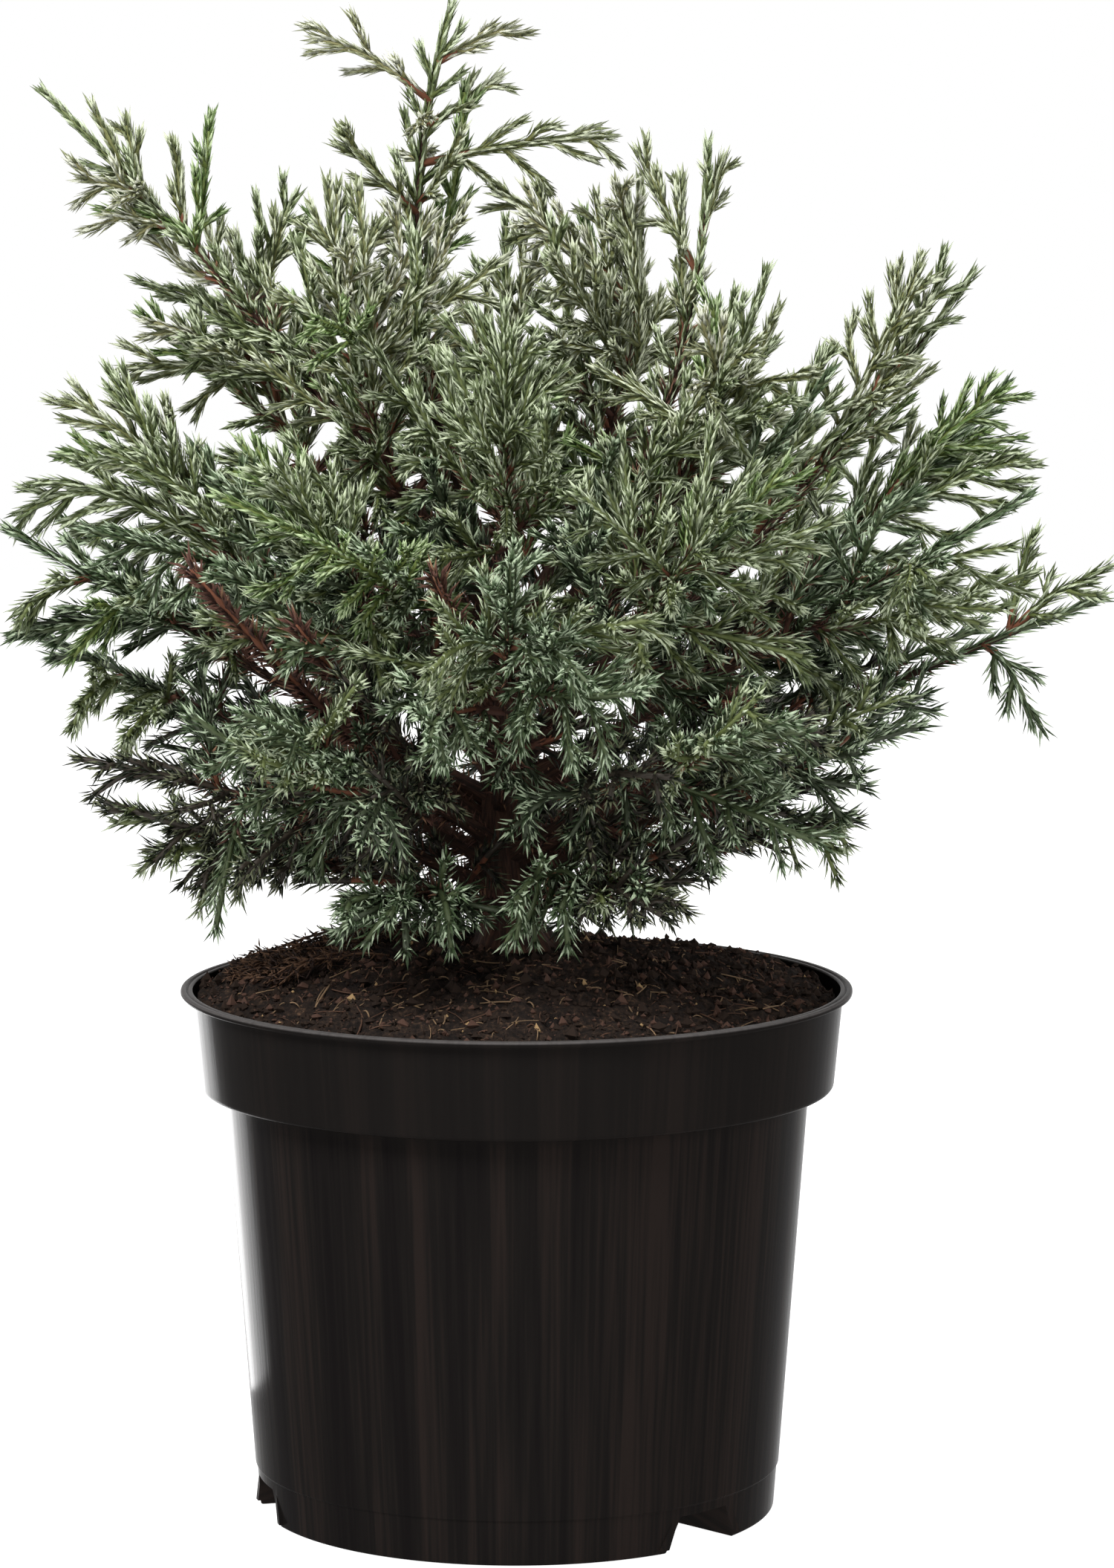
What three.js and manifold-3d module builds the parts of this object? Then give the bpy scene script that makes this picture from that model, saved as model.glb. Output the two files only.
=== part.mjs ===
// A potted dwarf sawara cypress: a black nursery pot, its mound of soil, a short reddish trunk, the boughs
// that fan out from it, and the masses of needle foliage that the boughs and the trunk carry.
// Millimetres, +Z up. The origin is the middle of the pot's flat underside, and the front faces along -Y.
import * as THREE from "three";
import { mergeVertices } from "three/addons/utils/BufferGeometryUtils.js";
import Module from "manifold-3d";

const manifold = await Module();
manifold.setup();

// Driving sizes of the pot
const POT_HEIGHT = 149;
const LIP_RADIUS = 95;
const LIP_HEIGHT = 2.6;
const COLLAR_TOP_RADIUS = 92.3;
const COLLAR_BOTTOM_RADIUS = 89.8;
const COLLAR_HEIGHT = 28;
const BODY_TOP_RADIUS = 82.8;
const BASE_RADIUS = 73.8;
const FOOT_BAND_HEIGHT = 12.5;
const FOOT_BAND_INSET = 0.5;
const WALL = 1.6;
const FLOOR = 2.4;
const POT_SEGMENTS = 36;

// The drainage channels cut radially into the pot's foot
const CHANNEL_COUNT = 3;
const CHANNEL_AZIMUTH = 75;
const CHANNEL_HEIGHT = 10;
const CHANNEL_MOUTH = 28;
const CHANNEL_ROOF = 18;
const CHANNEL_DEPTH = 24;
const DRAIN_RADIUS = 4;
const DRAIN_SIDES = 12;

// Driving sizes of the soil
const SOIL_EDGE_HEIGHT = 145;
const SOIL_CROWN_HEIGHT = 160;
const SOIL_LUMP = 1.6;
const SOIL_SEGMENTS = 28;
const SOIL_RINGS = 5;
const MOUND_POWER = 1.5;
const TRUNK_SEAT_RADIUS = 15;

// The narrow space left between two solids that touch on the real plant
const CLEAR = 0.3;
const LIMB_GAP = 0.4; // the same between two limbs, whose facets lie a little inside their true round
const STEM_GAP = 0.4; // and between a bough's tip and the stem that carries on from it

// Driving sizes of the trunk
const TRUNK_HEIGHT = 100;
const TRUNK_FLARE_RADIUS = 13;
const TRUNK_FOOT_RADIUS = 8.6;
const TRUNK_TIP_RADIUS = 3.4;
const FLARE_HEIGHT = 9;
const FLARE_POWER = 1.6;
const TRUNK_SWAY = 4;
const TRUNK_SIDES = 9;
const TRUNK_STEPS = 7;
const STEP_POWER = 1.7; // how strongly the trunk's steps crowd together at its foot

// Driving sizes of the boughs, the twigs and the sprays of needles
const BOUGH_SIDES = 5;
const BOUGH_STEPS = 3;
const BOUGH_GAIN = 0.011; // how much thicker a bough's foot is than its tip, for each mm of its arm
const BOUGH_TIP_RADIUS = 1.5;
const ARM_MIDDLE = 0.48; // where along its chord an arm's curve is pulled up
const ARM_BOW = 0.16; // how far it is pulled up when the arm is level, as a share of the chord
const ARM_BOW_LOSS = 0.0045; // and how much less that is for each degree of rise
const STEM_SIDES = 4;
const STEM_STEPS = 3;
const STEM_FOOT_RADIUS = 1.7;
const STEM_TIP_RADIUS = 1;
const TWIG_SHARE = 0.6; // foot radius of a twig as a share of its stem's radius there
const TWIG_NECK_RADIUS = 0.5;
const TWIG_SPACING = 10;
// Each of these runs from the twigs near a mass's tip to those near its root.
const TWIG_LENGTH = [0.18, 0.52]; // as a share of the arm's longest sprays
const TWIG_START_LEAN = [44, 76]; // degrees from the stem where a twig leaves it
const TWIG_END_LEAN = [30, 54]; // and where the twig's end lies, seen from its root
const SPRAY_LENGTH = [0.62, 1]; // as a share of the arm's longest sprays
const SPRAY_ROLL = [38, 68]; // least and most degrees that a spray's flat side is turned on its twig
// A spray's sizes, but for its thickness, are shares of its length.
const SPRAY_HALF_WIDTH = 0.3;
const SPRAY_WIDTH_LOSS = 0.6;
const SPRAY_FIRST_FINGER = 0.4;
const SPRAY_LAST_FINGER = 0.82;
const SPRAY_NOTCH_BACK = 0.03;
const SPRAY_RIB = 0.11;
const SPRAY_RIB_LOSS = 0.2;
const SPRAY_NEAR_MIDDLE = 0.13;
const SPRAY_FAR_MIDDLE = 0.52;
const SPRAY_HALF_THICKNESS = 1.2;
const SPRAY_FAR_THINNING = 0.7;
const SPRAY_FINGERS = 3;
const SPRAY_SHORT = 40; // a spray shorter than this has one finger fewer on each side
const SPRAY_SIZES = [1, 0.86, 0.74, 0.62, 0.52, 0.44, 0.37]; // shares of full size that are tried in turn
const TIP_SPRAY = 0.66; // length of the spray at a stem's end, as a share of the longest
const TIP_SINK = 5; // how deep its twig starts inside the stem
const TIP_NECK = 2.5; // and how far its neck stands out
const GOLDEN_ANGLE = 137.5;
const SPACE_MARGIN = 1; // how much nearer to its own middle line than to another's a mass must stay
const LIMB_MARGIN = 1.2; // room between a spray and the bark of any limb but its own stem
const GROUND_MARGIN = 2.5; // room between a spray and the soil's highest lump or the pot's lip
// the crown's underside rises away from the trunk to the left and right
const UNDERSIDE_HEIGHT = 155;
const UNDERSIDE_SLOPE = 0.2;
const TAPER = 2.8; // how fast a mass's reach shrinks to the sides of its arm

// Each arm is one bough with the mass it carries. azimuth is in degrees, 0 to the right and 90 to the back;
// rise is in degrees above level; reach runs from the heart of the plant to the arm's furthest tip;
// leaves is the height above the soil where the bough leaves the trunk; share is how much of the arm is
// bare bough, and 0 where the mass leaves the trunk itself; spray is the length of its longest sprays;
// lift is how much more than the others it is pulled up, as a share of its chord.
const HEART = new THREE.Vector3(0, 0, 172);
const ARMS = [
  { name: "leader", azimuth: 165, rise: 86, reach: 255, leaves: 99, share: 0.22, spray: 43 },
  { name: "left_spire", azimuth: 190, rise: 60, reach: 266, leaves: 87, share: 0.31, spray: 36, lift: 0.15 },
  { name: "crown_left", azimuth: 210, rise: 74, reach: 215, leaves: 78, share: 0.25, spray: 52 },
  { name: "left_crown", azimuth: 179, rise: 66, reach: 217, leaves: 62, share: 0.27, spray: 50 },
  { name: "crown_right", azimuth: 30, rise: 79, reach: 210, leaves: 90, share: 0.27, spray: 55 },
  { name: "left_shoulder", azimuth: 195, rise: 53, reach: 194, leaves: 30, share: 0.30, spray: 57 },
  { name: "left", azimuth: 184, rise: 37, reach: 181, leaves: 40, share: 0.27, spray: 57 },
  { name: "left_low", azimuth: 170, rise: 28, reach: 160, leaves: 22, share: 0.27, spray: 57 },
  { name: "lower_left", azimuth: 198, rise: 20, reach: 138, leaves: 14, share: 0.23, spray: 57 },
  { name: "bottom_left", azimuth: 184, rise: 9, reach: 108, leaves: 6, share: 0, spray: 48 },
  { name: "right_spire", azimuth: 350, rise: 76, reach: 223, leaves: 76, share: 0.30, spray: 34 },
  { name: "far_right_spire", azimuth: 6, rise: 54, reach: 222, leaves: 52, share: 0.30, spray: 42 },
  { name: "right_top", azimuth: 328, rise: 66, reach: 200, leaves: 66, share: 0.27, spray: 57 },
  { name: "right_upper", azimuth: 10, rise: 46, reach: 206, leaves: 36, share: 0.29, spray: 52 },
  { name: "right_shoulder", azimuth: 342, rise: 39, reach: 192, leaves: 44, share: 0.27, spray: 57 },
  { name: "right", azimuth: 358, rise: 28, reach: 189, leaves: 22, share: 0.26, spray: 46 },
  { name: "lower_right", azimuth: 338, rise: 25, reach: 136, leaves: 16, share: 0.23, spray: 57 },
  { name: "bottom_right", azimuth: 350, rise: 15, reach: 104, leaves: 7, share: 0, spray: 48 },
  { name: "front_top", azimuth: 268, rise: 67, reach: 190, leaves: 70, share: 0.23, spray: 57 },
  { name: "front_left_high", azimuth: 236, rise: 50, reach: 178, leaves: 50, share: 0.26, spray: 57 },
  { name: "front_centre", azimuth: 270, rise: 41, reach: 168, leaves: 38, share: 0.26, spray: 57 },
  { name: "front_right_high", azimuth: 304, rise: 49, reach: 176, leaves: 54, share: 0.26, spray: 57 },
  { name: "front_right", azimuth: 304, rise: 27, reach: 146, leaves: 24, share: 0.23, spray: 57 },
  { name: "front_left", azimuth: 234, rise: 28, reach: 143, leaves: 28, share: 0.23, spray: 57 },
  { name: "front_low_left", azimuth: 240, rise: 4, reach: 92, leaves: 9, share: 0, spray: 48 },
  { name: "front_low_right", azimuth: 298, rise: 7, reach: 98, leaves: 11, share: 0, spray: 50 },
  { name: "back_top", azimuth: 93, rise: 70, reach: 206, leaves: 81, share: 0.27, spray: 57 },
  { name: "back_centre", azimuth: 92, rise: 28, reach: 158, leaves: 34, share: 0, spray: 57 },
  { name: "back_left", azimuth: 130, rise: 44, reach: 182, leaves: 46, share: 0.26, spray: 57 },
  { name: "back_right", azimuth: 48, rise: 42, reach: 184, leaves: 48, share: 0.26, spray: 57 },
  { name: "back_low_left", azimuth: 128, rise: 14, reach: 138, leaves: 18, share: 0, spray: 57 },
  { name: "back_low_right", azimuth: 56, rise: 12, reach: 138, leaves: 12, share: 0, spray: 57 },
];

const COLOURS = {
  pot: new THREE.MeshStandardMaterial({ color: 0x141315, roughness: 0.32, metalness: 0 }),
  soil: new THREE.MeshStandardMaterial({ color: 0x2b1c14, roughness: 0.95, metalness: 0 }),
  bark: new THREE.MeshStandardMaterial({ color: 0x5a3423, roughness: 0.9, metalness: 0 }),
  foliage: new THREE.MeshStandardMaterial({ color: 0x5c7a66, roughness: 0.7, metalness: 0 }),
};

const UP = new THREE.Vector3(0, 0, 1);
const FORWARD = new THREE.Vector3(0, 1, 0);
const radians = THREE.MathUtils.degToRad;

// The same number from 0 to 1 each time for the same three whole numbers.
function chance(i, j, k) {
  const wave = Math.sin(i * 12.9898 + j * 78.233 + k * 37.719) * 43758.5453;
  return wave - Math.floor(wave);
}

function solidOf(geometry) {
  const plain = geometry.index ? geometry.toNonIndexed() : geometry.clone();
  const bare = new THREE.BufferGeometry().setAttribute("position", plain.getAttribute("position"));
  const merged = mergeVertices(bare, 1e-4);
  return new manifold.Manifold(
    new manifold.Mesh({
      numProp: 3,
      vertProperties: new Float32Array(merged.getAttribute("position").array),
      triVerts: new Uint32Array(merged.index.array),
    }),
  );
}

function geometryOf(solid) {
  const mesh = solid.getMesh();
  const points = new Float32Array(mesh.numVert * 3);
  for (let i = 0; i < mesh.numVert; i++) {
    points.set(mesh.vertProperties.subarray(i * mesh.numProp, i * mesh.numProp + 3), i * 3);
  }
  const geometry = new THREE.BufferGeometry();
  geometry.setAttribute("position", new THREE.BufferAttribute(points, 3));
  geometry.setIndex(new THREE.BufferAttribute(new Uint32Array(mesh.triVerts), 1));
  geometry.computeVertexNormals();
  return geometry;
}

function largestPiece(solid) {
  return solid.decompose().reduce((best, piece) => (piece.volume() > best.volume() ? piece : best));
}

// Pot

// Outside radius of the pot's tapered body at a height.
function bodyRadius(height) {
  return THREE.MathUtils.lerp(BASE_RADIUS, BODY_TOP_RADIUS, height / (POT_HEIGHT - COLLAR_HEIGHT));
}

// Half of the pot's section as radius and height, from the middle of the underside round to the floor.
function potSection() {
  const ledge = POT_HEIGHT - COLLAR_HEIGHT;
  const lipFoot = POT_HEIGHT - LIP_HEIGHT;
  return [
    [0, 0],
    [BASE_RADIUS - FOOT_BAND_INSET, 0],
    [bodyRadius(FOOT_BAND_HEIGHT) - FOOT_BAND_INSET, FOOT_BAND_HEIGHT],
    [bodyRadius(FOOT_BAND_HEIGHT), FOOT_BAND_HEIGHT + FOOT_BAND_INSET],
    [BODY_TOP_RADIUS, ledge],
    [COLLAR_BOTTOM_RADIUS, ledge],
    [COLLAR_TOP_RADIUS, lipFoot],
    [LIP_RADIUS, lipFoot],
    [LIP_RADIUS, POT_HEIGHT],
    [COLLAR_TOP_RADIUS - WALL, POT_HEIGHT],
    [COLLAR_BOTTOM_RADIUS - WALL, ledge + WALL],
    [BODY_TOP_RADIUS - WALL, ledge + WALL],
    [BASE_RADIUS - WALL, FLOOR],
    [0, FLOOR],
  ];
}

function latheGeometry(section, segments) {
  const outline = section.map(([radius, height]) => new THREE.Vector2(radius, height));
  return new THREE.LatheGeometry(outline, segments).rotateX(Math.PI / 2);
}

function latheSolid(section, segments) {
  return solidOf(latheGeometry(section, segments));
}

// A bar of trapezoid section that lies along a radius of the pot, grown by the wall where it lines a channel.
function channelBar(azimuth, grown, outerRadius) {
  const innerRadius = BASE_RADIUS - CHANNEL_DEPTH - grown;
  // a lining starts inside the floor, and a cut starts below it
  const foot = grown ? FLOOR / 2 : -1;
  const shape = new THREE.Shape([
    new THREE.Vector2(-CHANNEL_MOUTH / 2 - grown, foot),
    new THREE.Vector2(CHANNEL_MOUTH / 2 + grown, foot),
    new THREE.Vector2(CHANNEL_ROOF / 2 + grown, CHANNEL_HEIGHT + grown),
    new THREE.Vector2(-CHANNEL_ROOF / 2 - grown, CHANNEL_HEIGHT + grown),
  ]);
  const bar = new THREE.ExtrudeGeometry(shape, { depth: outerRadius - innerRadius, bevelEnabled: false });
  // the section's plane turns to stand across the radius
  bar.rotateX(Math.PI / 2).rotateZ(-Math.PI / 2).translate(outerRadius, 0, 0).rotateZ(radians(azimuth));
  return solidOf(bar);
}

function drain(azimuth) {
  const radius = BASE_RADIUS - CHANNEL_DEPTH / 2;
  const hole = new THREE.CylinderGeometry(DRAIN_RADIUS, DRAIN_RADIUS, 2 * CHANNEL_HEIGHT, DRAIN_SIDES);
  hole.rotateX(Math.PI / 2).translate(radius, 0, CHANNEL_HEIGHT).rotateZ(radians(azimuth));
  return solidOf(hole);
}

const channelAzimuths = Array.from(
  { length: CHANNEL_COUNT },
  (_, k) => CHANNEL_AZIMUTH + (k * 360) / CHANNEL_COUNT,
);

function makePot() {
  let pot = latheSolid(potSection(), POT_SEGMENTS);
  for (const azimuth of channelAzimuths) {
    pot = pot
      .add(channelBar(azimuth, WALL, BASE_RADIUS - WALL / 2))
      .subtract(channelBar(azimuth, 0, BODY_TOP_RADIUS))
      .subtract(drain(azimuth));
  }
  return pot;
}

// Soil

// Height of the soil at a radius: a mound that is level under the trunk.
function soilHeight(radius) {
  const edge = COLLAR_BOTTOM_RADIUS - WALL;
  const outward = Math.max(0, radius - TRUNK_SEAT_RADIUS) / (edge - TRUNK_SEAT_RADIUS);
  return SOIL_CROWN_HEIGHT - (SOIL_CROWN_HEIGHT - SOIL_EDGE_HEIGHT) * Math.pow(outward, MOUND_POWER);
}

// Inside radius of the pot's collar at a height.
function collarInside(height) {
  const seat = POT_HEIGHT - COLLAR_HEIGHT + WALL;
  const t = (height - seat) / (POT_HEIGHT - seat);
  return THREE.MathUtils.lerp(COLLAR_BOTTOM_RADIUS, COLLAR_TOP_RADIUS, t) - WALL;
}

function makeSoil() {
  const seat = POT_HEIGHT - COLLAR_HEIGHT + WALL;
  const facetLoss = LIP_RADIUS * (1 - Math.cos(Math.PI / POT_SEGMENTS));
  const gap = CLEAR + facetLoss;
  const edge = collarInside(SOIL_EDGE_HEIGHT) - gap;
  const section = [
    [0, FLOOR + CLEAR],
    [BASE_RADIUS - WALL - gap, FLOOR + CLEAR],
    [BODY_TOP_RADIUS - WALL - gap, seat + CLEAR],
    [collarInside(seat) - gap, seat + CLEAR],
    [edge, SOIL_EDGE_HEIGHT],
  ];
  for (let ring = SOIL_RINGS - 1; ring >= 1; ring--) {
    const radius = TRUNK_SEAT_RADIUS + ((edge - TRUNK_SEAT_RADIUS) * (ring - 0.4)) / SOIL_RINGS;
    section.push([radius, soilHeight(radius)]);
  }
  section.push([TRUNK_SEAT_RADIUS, SOIL_CROWN_HEIGHT], [0, SOIL_CROWN_HEIGHT]);
  const geometry = latheGeometry(section, SOIL_SEGMENTS);
  raiseLumps(geometry, edge);
  let soil = solidOf(geometry);
  for (const azimuth of channelAzimuths) {
    soil = soil.subtract(channelBar(azimuth, WALL + CLEAR, BODY_TOP_RADIUS));
  }
  return soil;
}

// Moves the open face of the soil up and down into soft lumps, and leaves its rim and the trunk's seat level.
function raiseLumps(geometry, edge) {
  const place = geometry.getAttribute("position");
  for (let i = 0; i < place.count; i++) {
    const x = place.getX(i);
    const y = place.getY(i);
    const radius = Math.hypot(x, y);
    const open = radius > TRUNK_SEAT_RADIUS + 1 && radius < edge - 1 && place.getZ(i) > SOIL_EDGE_HEIGHT - 1;
    if (open) {
      const lump = Math.sin(x * 0.21 + 1.3) * Math.cos(y * 0.17 - 0.6) + 0.6 * Math.sin(x * 0.09 - y * 0.23);
      place.setZ(i, place.getZ(i) + SOIL_LUMP * lump);
    }
  }
}

// Limbs

// The trunk's middle at a height above the soil: it sways a little from side to side.
function trunkMiddle(height) {
  const t = height / TRUNK_HEIGHT;
  return new THREE.Vector3(
    -TRUNK_SWAY * (Math.sin(t * 5.2) * 0.7 + t * 1.1),
    TRUNK_SWAY * (Math.sin(t * 4.1) * 0.6),
    SOIL_CROWN_HEIGHT + CLEAR + height,
  );
}

function trunkRadius(height) {
  const flare = Math.pow(Math.max(0, 1 - height / FLARE_HEIGHT), FLARE_POWER);
  const taper = THREE.MathUtils.lerp(TRUNK_FOOT_RADIUS, TRUNK_TIP_RADIUS, height / TRUNK_HEIGHT);
  return taper + (TRUNK_FLARE_RADIUS - TRUNK_FOOT_RADIUS) * flare;
}

// A level ring at each step keeps the trunk's foot flat on the soil. The steps crowd together in the flare.
function makeTrunk(grown) {
  const geometry = new THREE.CylinderGeometry(1, 1, 1, TRUNK_SIDES, TRUNK_STEPS).rotateX(Math.PI / 2);
  const place = geometry.getAttribute("position");
  for (let i = 0; i < place.count; i++) {
    const t = place.getZ(i) + 0.5;
    const height = TRUNK_HEIGHT * Math.pow(t, STEP_POWER);
    const middle = trunkMiddle(height);
    const radius = trunkRadius(height) + grown;
    place.setXYZ(i, middle.x + place.getX(i) * radius, middle.y + place.getY(i) * radius, middle.z);
  }
  return solidOf(geometry);
}

// A point of a curve between two of its parameters.
function along(limb, u) {
  return limb.curve.getPoint(THREE.MathUtils.lerp(limb.from, limb.to, u));
}

// Bends a tapered cylinder onto a flat curve.
function limbSolid(limb, grown = 0) {
  const { curve, from, to, sides, steps } = limb;
  const rod = new THREE.CylinderGeometry(limb.tipRadius + grown, limb.footRadius + grown, 1, sides, steps);
  const across = acrossCurve(curve);
  const place = rod.getAttribute("position");
  for (let i = 0; i < place.count; i++) {
    const t = THREE.MathUtils.lerp(from, to, place.getY(i) + 0.5);
    const side = new THREE.Vector3().crossVectors(across, curve.getTangent(t));
    const point = curve
      .getPoint(t)
      .addScaledVector(across, place.getX(i))
      .addScaledVector(side, place.getZ(i));
    place.setXYZ(i, point.x, point.y, point.z);
  }
  return solidOf(rod);
}

// The direction square to the plane that a curve bends in.
function acrossCurve(curve) {
  const bend = new THREE.Vector3().crossVectors(
    new THREE.Vector3().subVectors(curve.v1, curve.v0),
    new THREE.Vector3().subVectors(curve.v2, curve.v0),
  );
  return bend.normalize();
}

// A fixed direction that a limb's own is never near: up, or forward for a limb that is upright itself.
function aslant(tangent) {
  return Math.abs(tangent.z) > 0.95 ? FORWARD : UP;
}

function direction(azimuth, rise) {
  const level = Math.cos(radians(rise));
  return new THREE.Vector3(
    level * Math.cos(radians(azimuth)),
    level * Math.sin(radians(azimuth)),
    Math.sin(radians(rise)),
  );
}

// An arm's curve: low arms arch over, and steep ones swing out before they climb.
function armCurve(arm) {
  const foot = trunkMiddle(arm.leaves);
  const tip = HEART.clone().addScaledVector(arm.direction, arm.reach);
  const chord = new THREE.Vector3().subVectors(tip, foot);
  const length = chord.length();
  chord.divideScalar(length);
  const lift = UP.clone().addScaledVector(chord, -chord.z).normalize();
  const bow = ARM_BOW - ARM_BOW_LOSS * arm.rise + (arm.lift ?? 0);
  const middle = foot
    .clone()
    .addScaledVector(chord, ARM_MIDDLE * length)
    .addScaledVector(lift, bow * length);
  return new THREE.QuadraticBezierCurve3(foot, middle, tip);
}

for (const arm of ARMS) {
  arm.direction = direction(arm.azimuth, arm.rise);
  arm.curve = armCurve(arm);
  arm.length = arm.curve.getLength();
  arm.bough = {
    curve: arm.curve,
    from: 0,
    to: arm.share,
    footRadius: BOUGH_TIP_RADIUS + BOUGH_GAIN * arm.length,
    tipRadius: BOUGH_TIP_RADIUS,
    sides: BOUGH_SIDES,
    steps: BOUGH_STEPS,
  };
  arm.stem = {
    curve: arm.curve,
    from: arm.share ? arm.share + STEM_GAP / arm.length : 0,
    to: 1 - (arm.spray * TIP_SPRAY) / arm.length,
    footRadius: STEM_FOOT_RADIUS,
    tipRadius: STEM_TIP_RADIUS,
    sides: STEM_SIDES,
    steps: STEM_STEPS,
  };
  const spots = [0, 0.2, 0.4, 0.6, 0.8, 1];
  arm.spine = spots.map((u) => arm.curve.getPoint(THREE.MathUtils.lerp(arm.share, 1, u)));
}

// Foliage

function segmentDistance(point, start, end) {
  const dx = end.x - start.x;
  const dy = end.y - start.y;
  const dz = end.z - start.z;
  const px = point.x - start.x;
  const py = point.y - start.y;
  const pz = point.z - start.z;
  const t = THREE.MathUtils.clamp((px * dx + py * dy + pz * dz) / (dx * dx + dy * dy + dz * dz), 0, 1);
  return Math.hypot(px - t * dx, py - t * dy, pz - t * dz);
}

// How far a point is from the middle line of a mass, which runs along its stem to the arm's tip.
function spineDistance(point, arm) {
  let least = Infinity;
  for (let k = 0; k + 1 < arm.spine.length; k++) {
    least = Math.min(least, segmentDistance(point, arm.spine[k], arm.spine[k + 1]));
  }
  return least;
}

// What foliage must stay clear of, as short straight rods with an owner, whose own foliage may touch it.
const rods = [];
const LIMB_RODS = 6;
const TRUNK_RODS = 12;

function addRods(curvePoint, radiusAt, count, owner) {
  for (let k = 0; k < count; k++) {
    const u = k / count;
    const v = (k + 1) / count;
    const radius = Math.max(radiusAt(u), radiusAt(v));
    rods.push({ start: curvePoint(u), end: curvePoint(v), radius, owner });
  }
}

function addLimbRods(limb, owner) {
  const radiusAt = (u) => THREE.MathUtils.lerp(limb.footRadius, limb.tipRadius, u);
  addRods((u) => along(limb, u), radiusAt, LIMB_RODS, owner);
}

addRods((u) => trunkMiddle(u * TRUNK_HEIGHT), (u) => trunkRadius(u * TRUNK_HEIGHT), TRUNK_RODS, null);
for (const arm of ARMS) {
  if (arm.share) {
    addLimbRods(arm.bough, null);
  }
  addLimbRods(arm.stem, arm);
}

// Whether every point is nearer to this arm's own middle line than to any other's.
function inOwnSpace(points, arm) {
  return points.every((point) => {
    const own = spineDistance(point, arm) + SPACE_MARGIN;
    return ARMS.every((other) => other === arm || spineDistance(point, other) > own);
  });
}

function clearOfLimbs(points, arm) {
  return rods.every(
    (rod) =>
      rod.owner === arm ||
      points.every((point) => segmentDistance(point, rod.start, rod.end) > rod.radius + LIMB_MARGIN),
  );
}

function clearOfGround(points) {
  return points.every((point) => {
    const radius = Math.hypot(point.x, point.y);
    const ground = Math.max(POT_HEIGHT, soilHeight(radius)) + SOIL_LUMP + GROUND_MARGIN;
    return point.z > Math.max(ground, UNDERSIDE_HEIGHT + UNDERSIDE_SLOPE * Math.abs(point.x));
  });
}

// A mass narrows to its tip: off to one side of the arm it reaches less far from the heart.
function withinReach(points, arm) {
  return points.every((point) => {
    const ray = new THREE.Vector3().subVectors(point, HEART);
    const offside = ray.angleTo(arm.direction);
    return ray.length() < arm.reach * Math.pow(Math.cos(offside), TAPER) + 1;
  });
}

function fits(points, arm) {
  const open = clearOfGround(points) && withinReach(points, arm);
  return open && inOwnSpace(points, arm) && clearOfLimbs(points, arm);
}

// One edge of a spray in its own plane, from its neck to its tip: forward fingers with notches between.
function sprayEdge(length, fingers, side) {
  const edge = [];
  for (let k = 0; k < fingers; k++) {
    const t = k / fingers;
    const finger = THREE.MathUtils.lerp(SPRAY_FIRST_FINGER, SPRAY_LAST_FINGER, k / (fingers - 1 || 1));
    const width = SPRAY_HALF_WIDTH * (1 - SPRAY_WIDTH_LOSS * t);
    const notch = SPRAY_RIB * (1 - SPRAY_RIB_LOSS * t);
    edge.push([finger, width], [finger - SPRAY_NOTCH_BACK * (1 - t), notch]);
  }
  return edge.map(([x, y]) => [x * length, side * y * length]);
}

// A spray on its twig, as places in space: four-sided rings along the twig, the fingered outline, and two
// middles along the rib, each above and below the outline's plane.
function sprayPlaces(twig, roll, length, fingers) {
  const end = twig.curve.getTangent(1);
  const flat = new THREE.Vector3().crossVectors(end, aslant(end)).normalize();
  flat.applyAxisAngle(end, roll);
  const rings = [0, 1].map((u) => {
    const tangent = twig.curve.getTangent(u);
    const side = flat.clone().addScaledVector(tangent, -flat.dot(tangent)).normalize();
    const normal = new THREE.Vector3().crossVectors(tangent, side);
    const radius = THREE.MathUtils.lerp(twig.footRadius, TWIG_NECK_RADIUS, u);
    return [side, normal, side.clone().negate(), normal.clone().negate()].map((way) =>
      way.multiplyScalar(radius).add(twig.curve.getPoint(u)),
    );
  });
  const neck = twig.curve.getPoint(1);
  const normal = new THREE.Vector3().crossVectors(end, flat);
  const place = (x, y, z) =>
    neck.clone().addScaledVector(end, x).addScaledVector(flat, y).addScaledVector(normal, z);
  const right = sprayEdge(length, fingers, -1).map(([x, y]) => place(x, y, 0));
  const left = sprayEdge(length, fingers, 1).map(([x, y]) => place(x, y, 0));
  const middles = [1, -1].map((face) => [
    place(SPRAY_NEAR_MIDDLE * length, 0, face * SPRAY_HALF_THICKNESS),
    place(SPRAY_FAR_MIDDLE * length, 0, face * SPRAY_HALF_THICKNESS * SPRAY_FAR_THINNING),
  ]);
  return { rings, outline: [...right, place(length, 0, 0), ...left.reverse()], middles };
}

// Triangles from a middle to each step of a path round it.
function fan(middle, path) {
  return path.slice(1).map((point, i) => [middle, path[i], point]);
}

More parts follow.
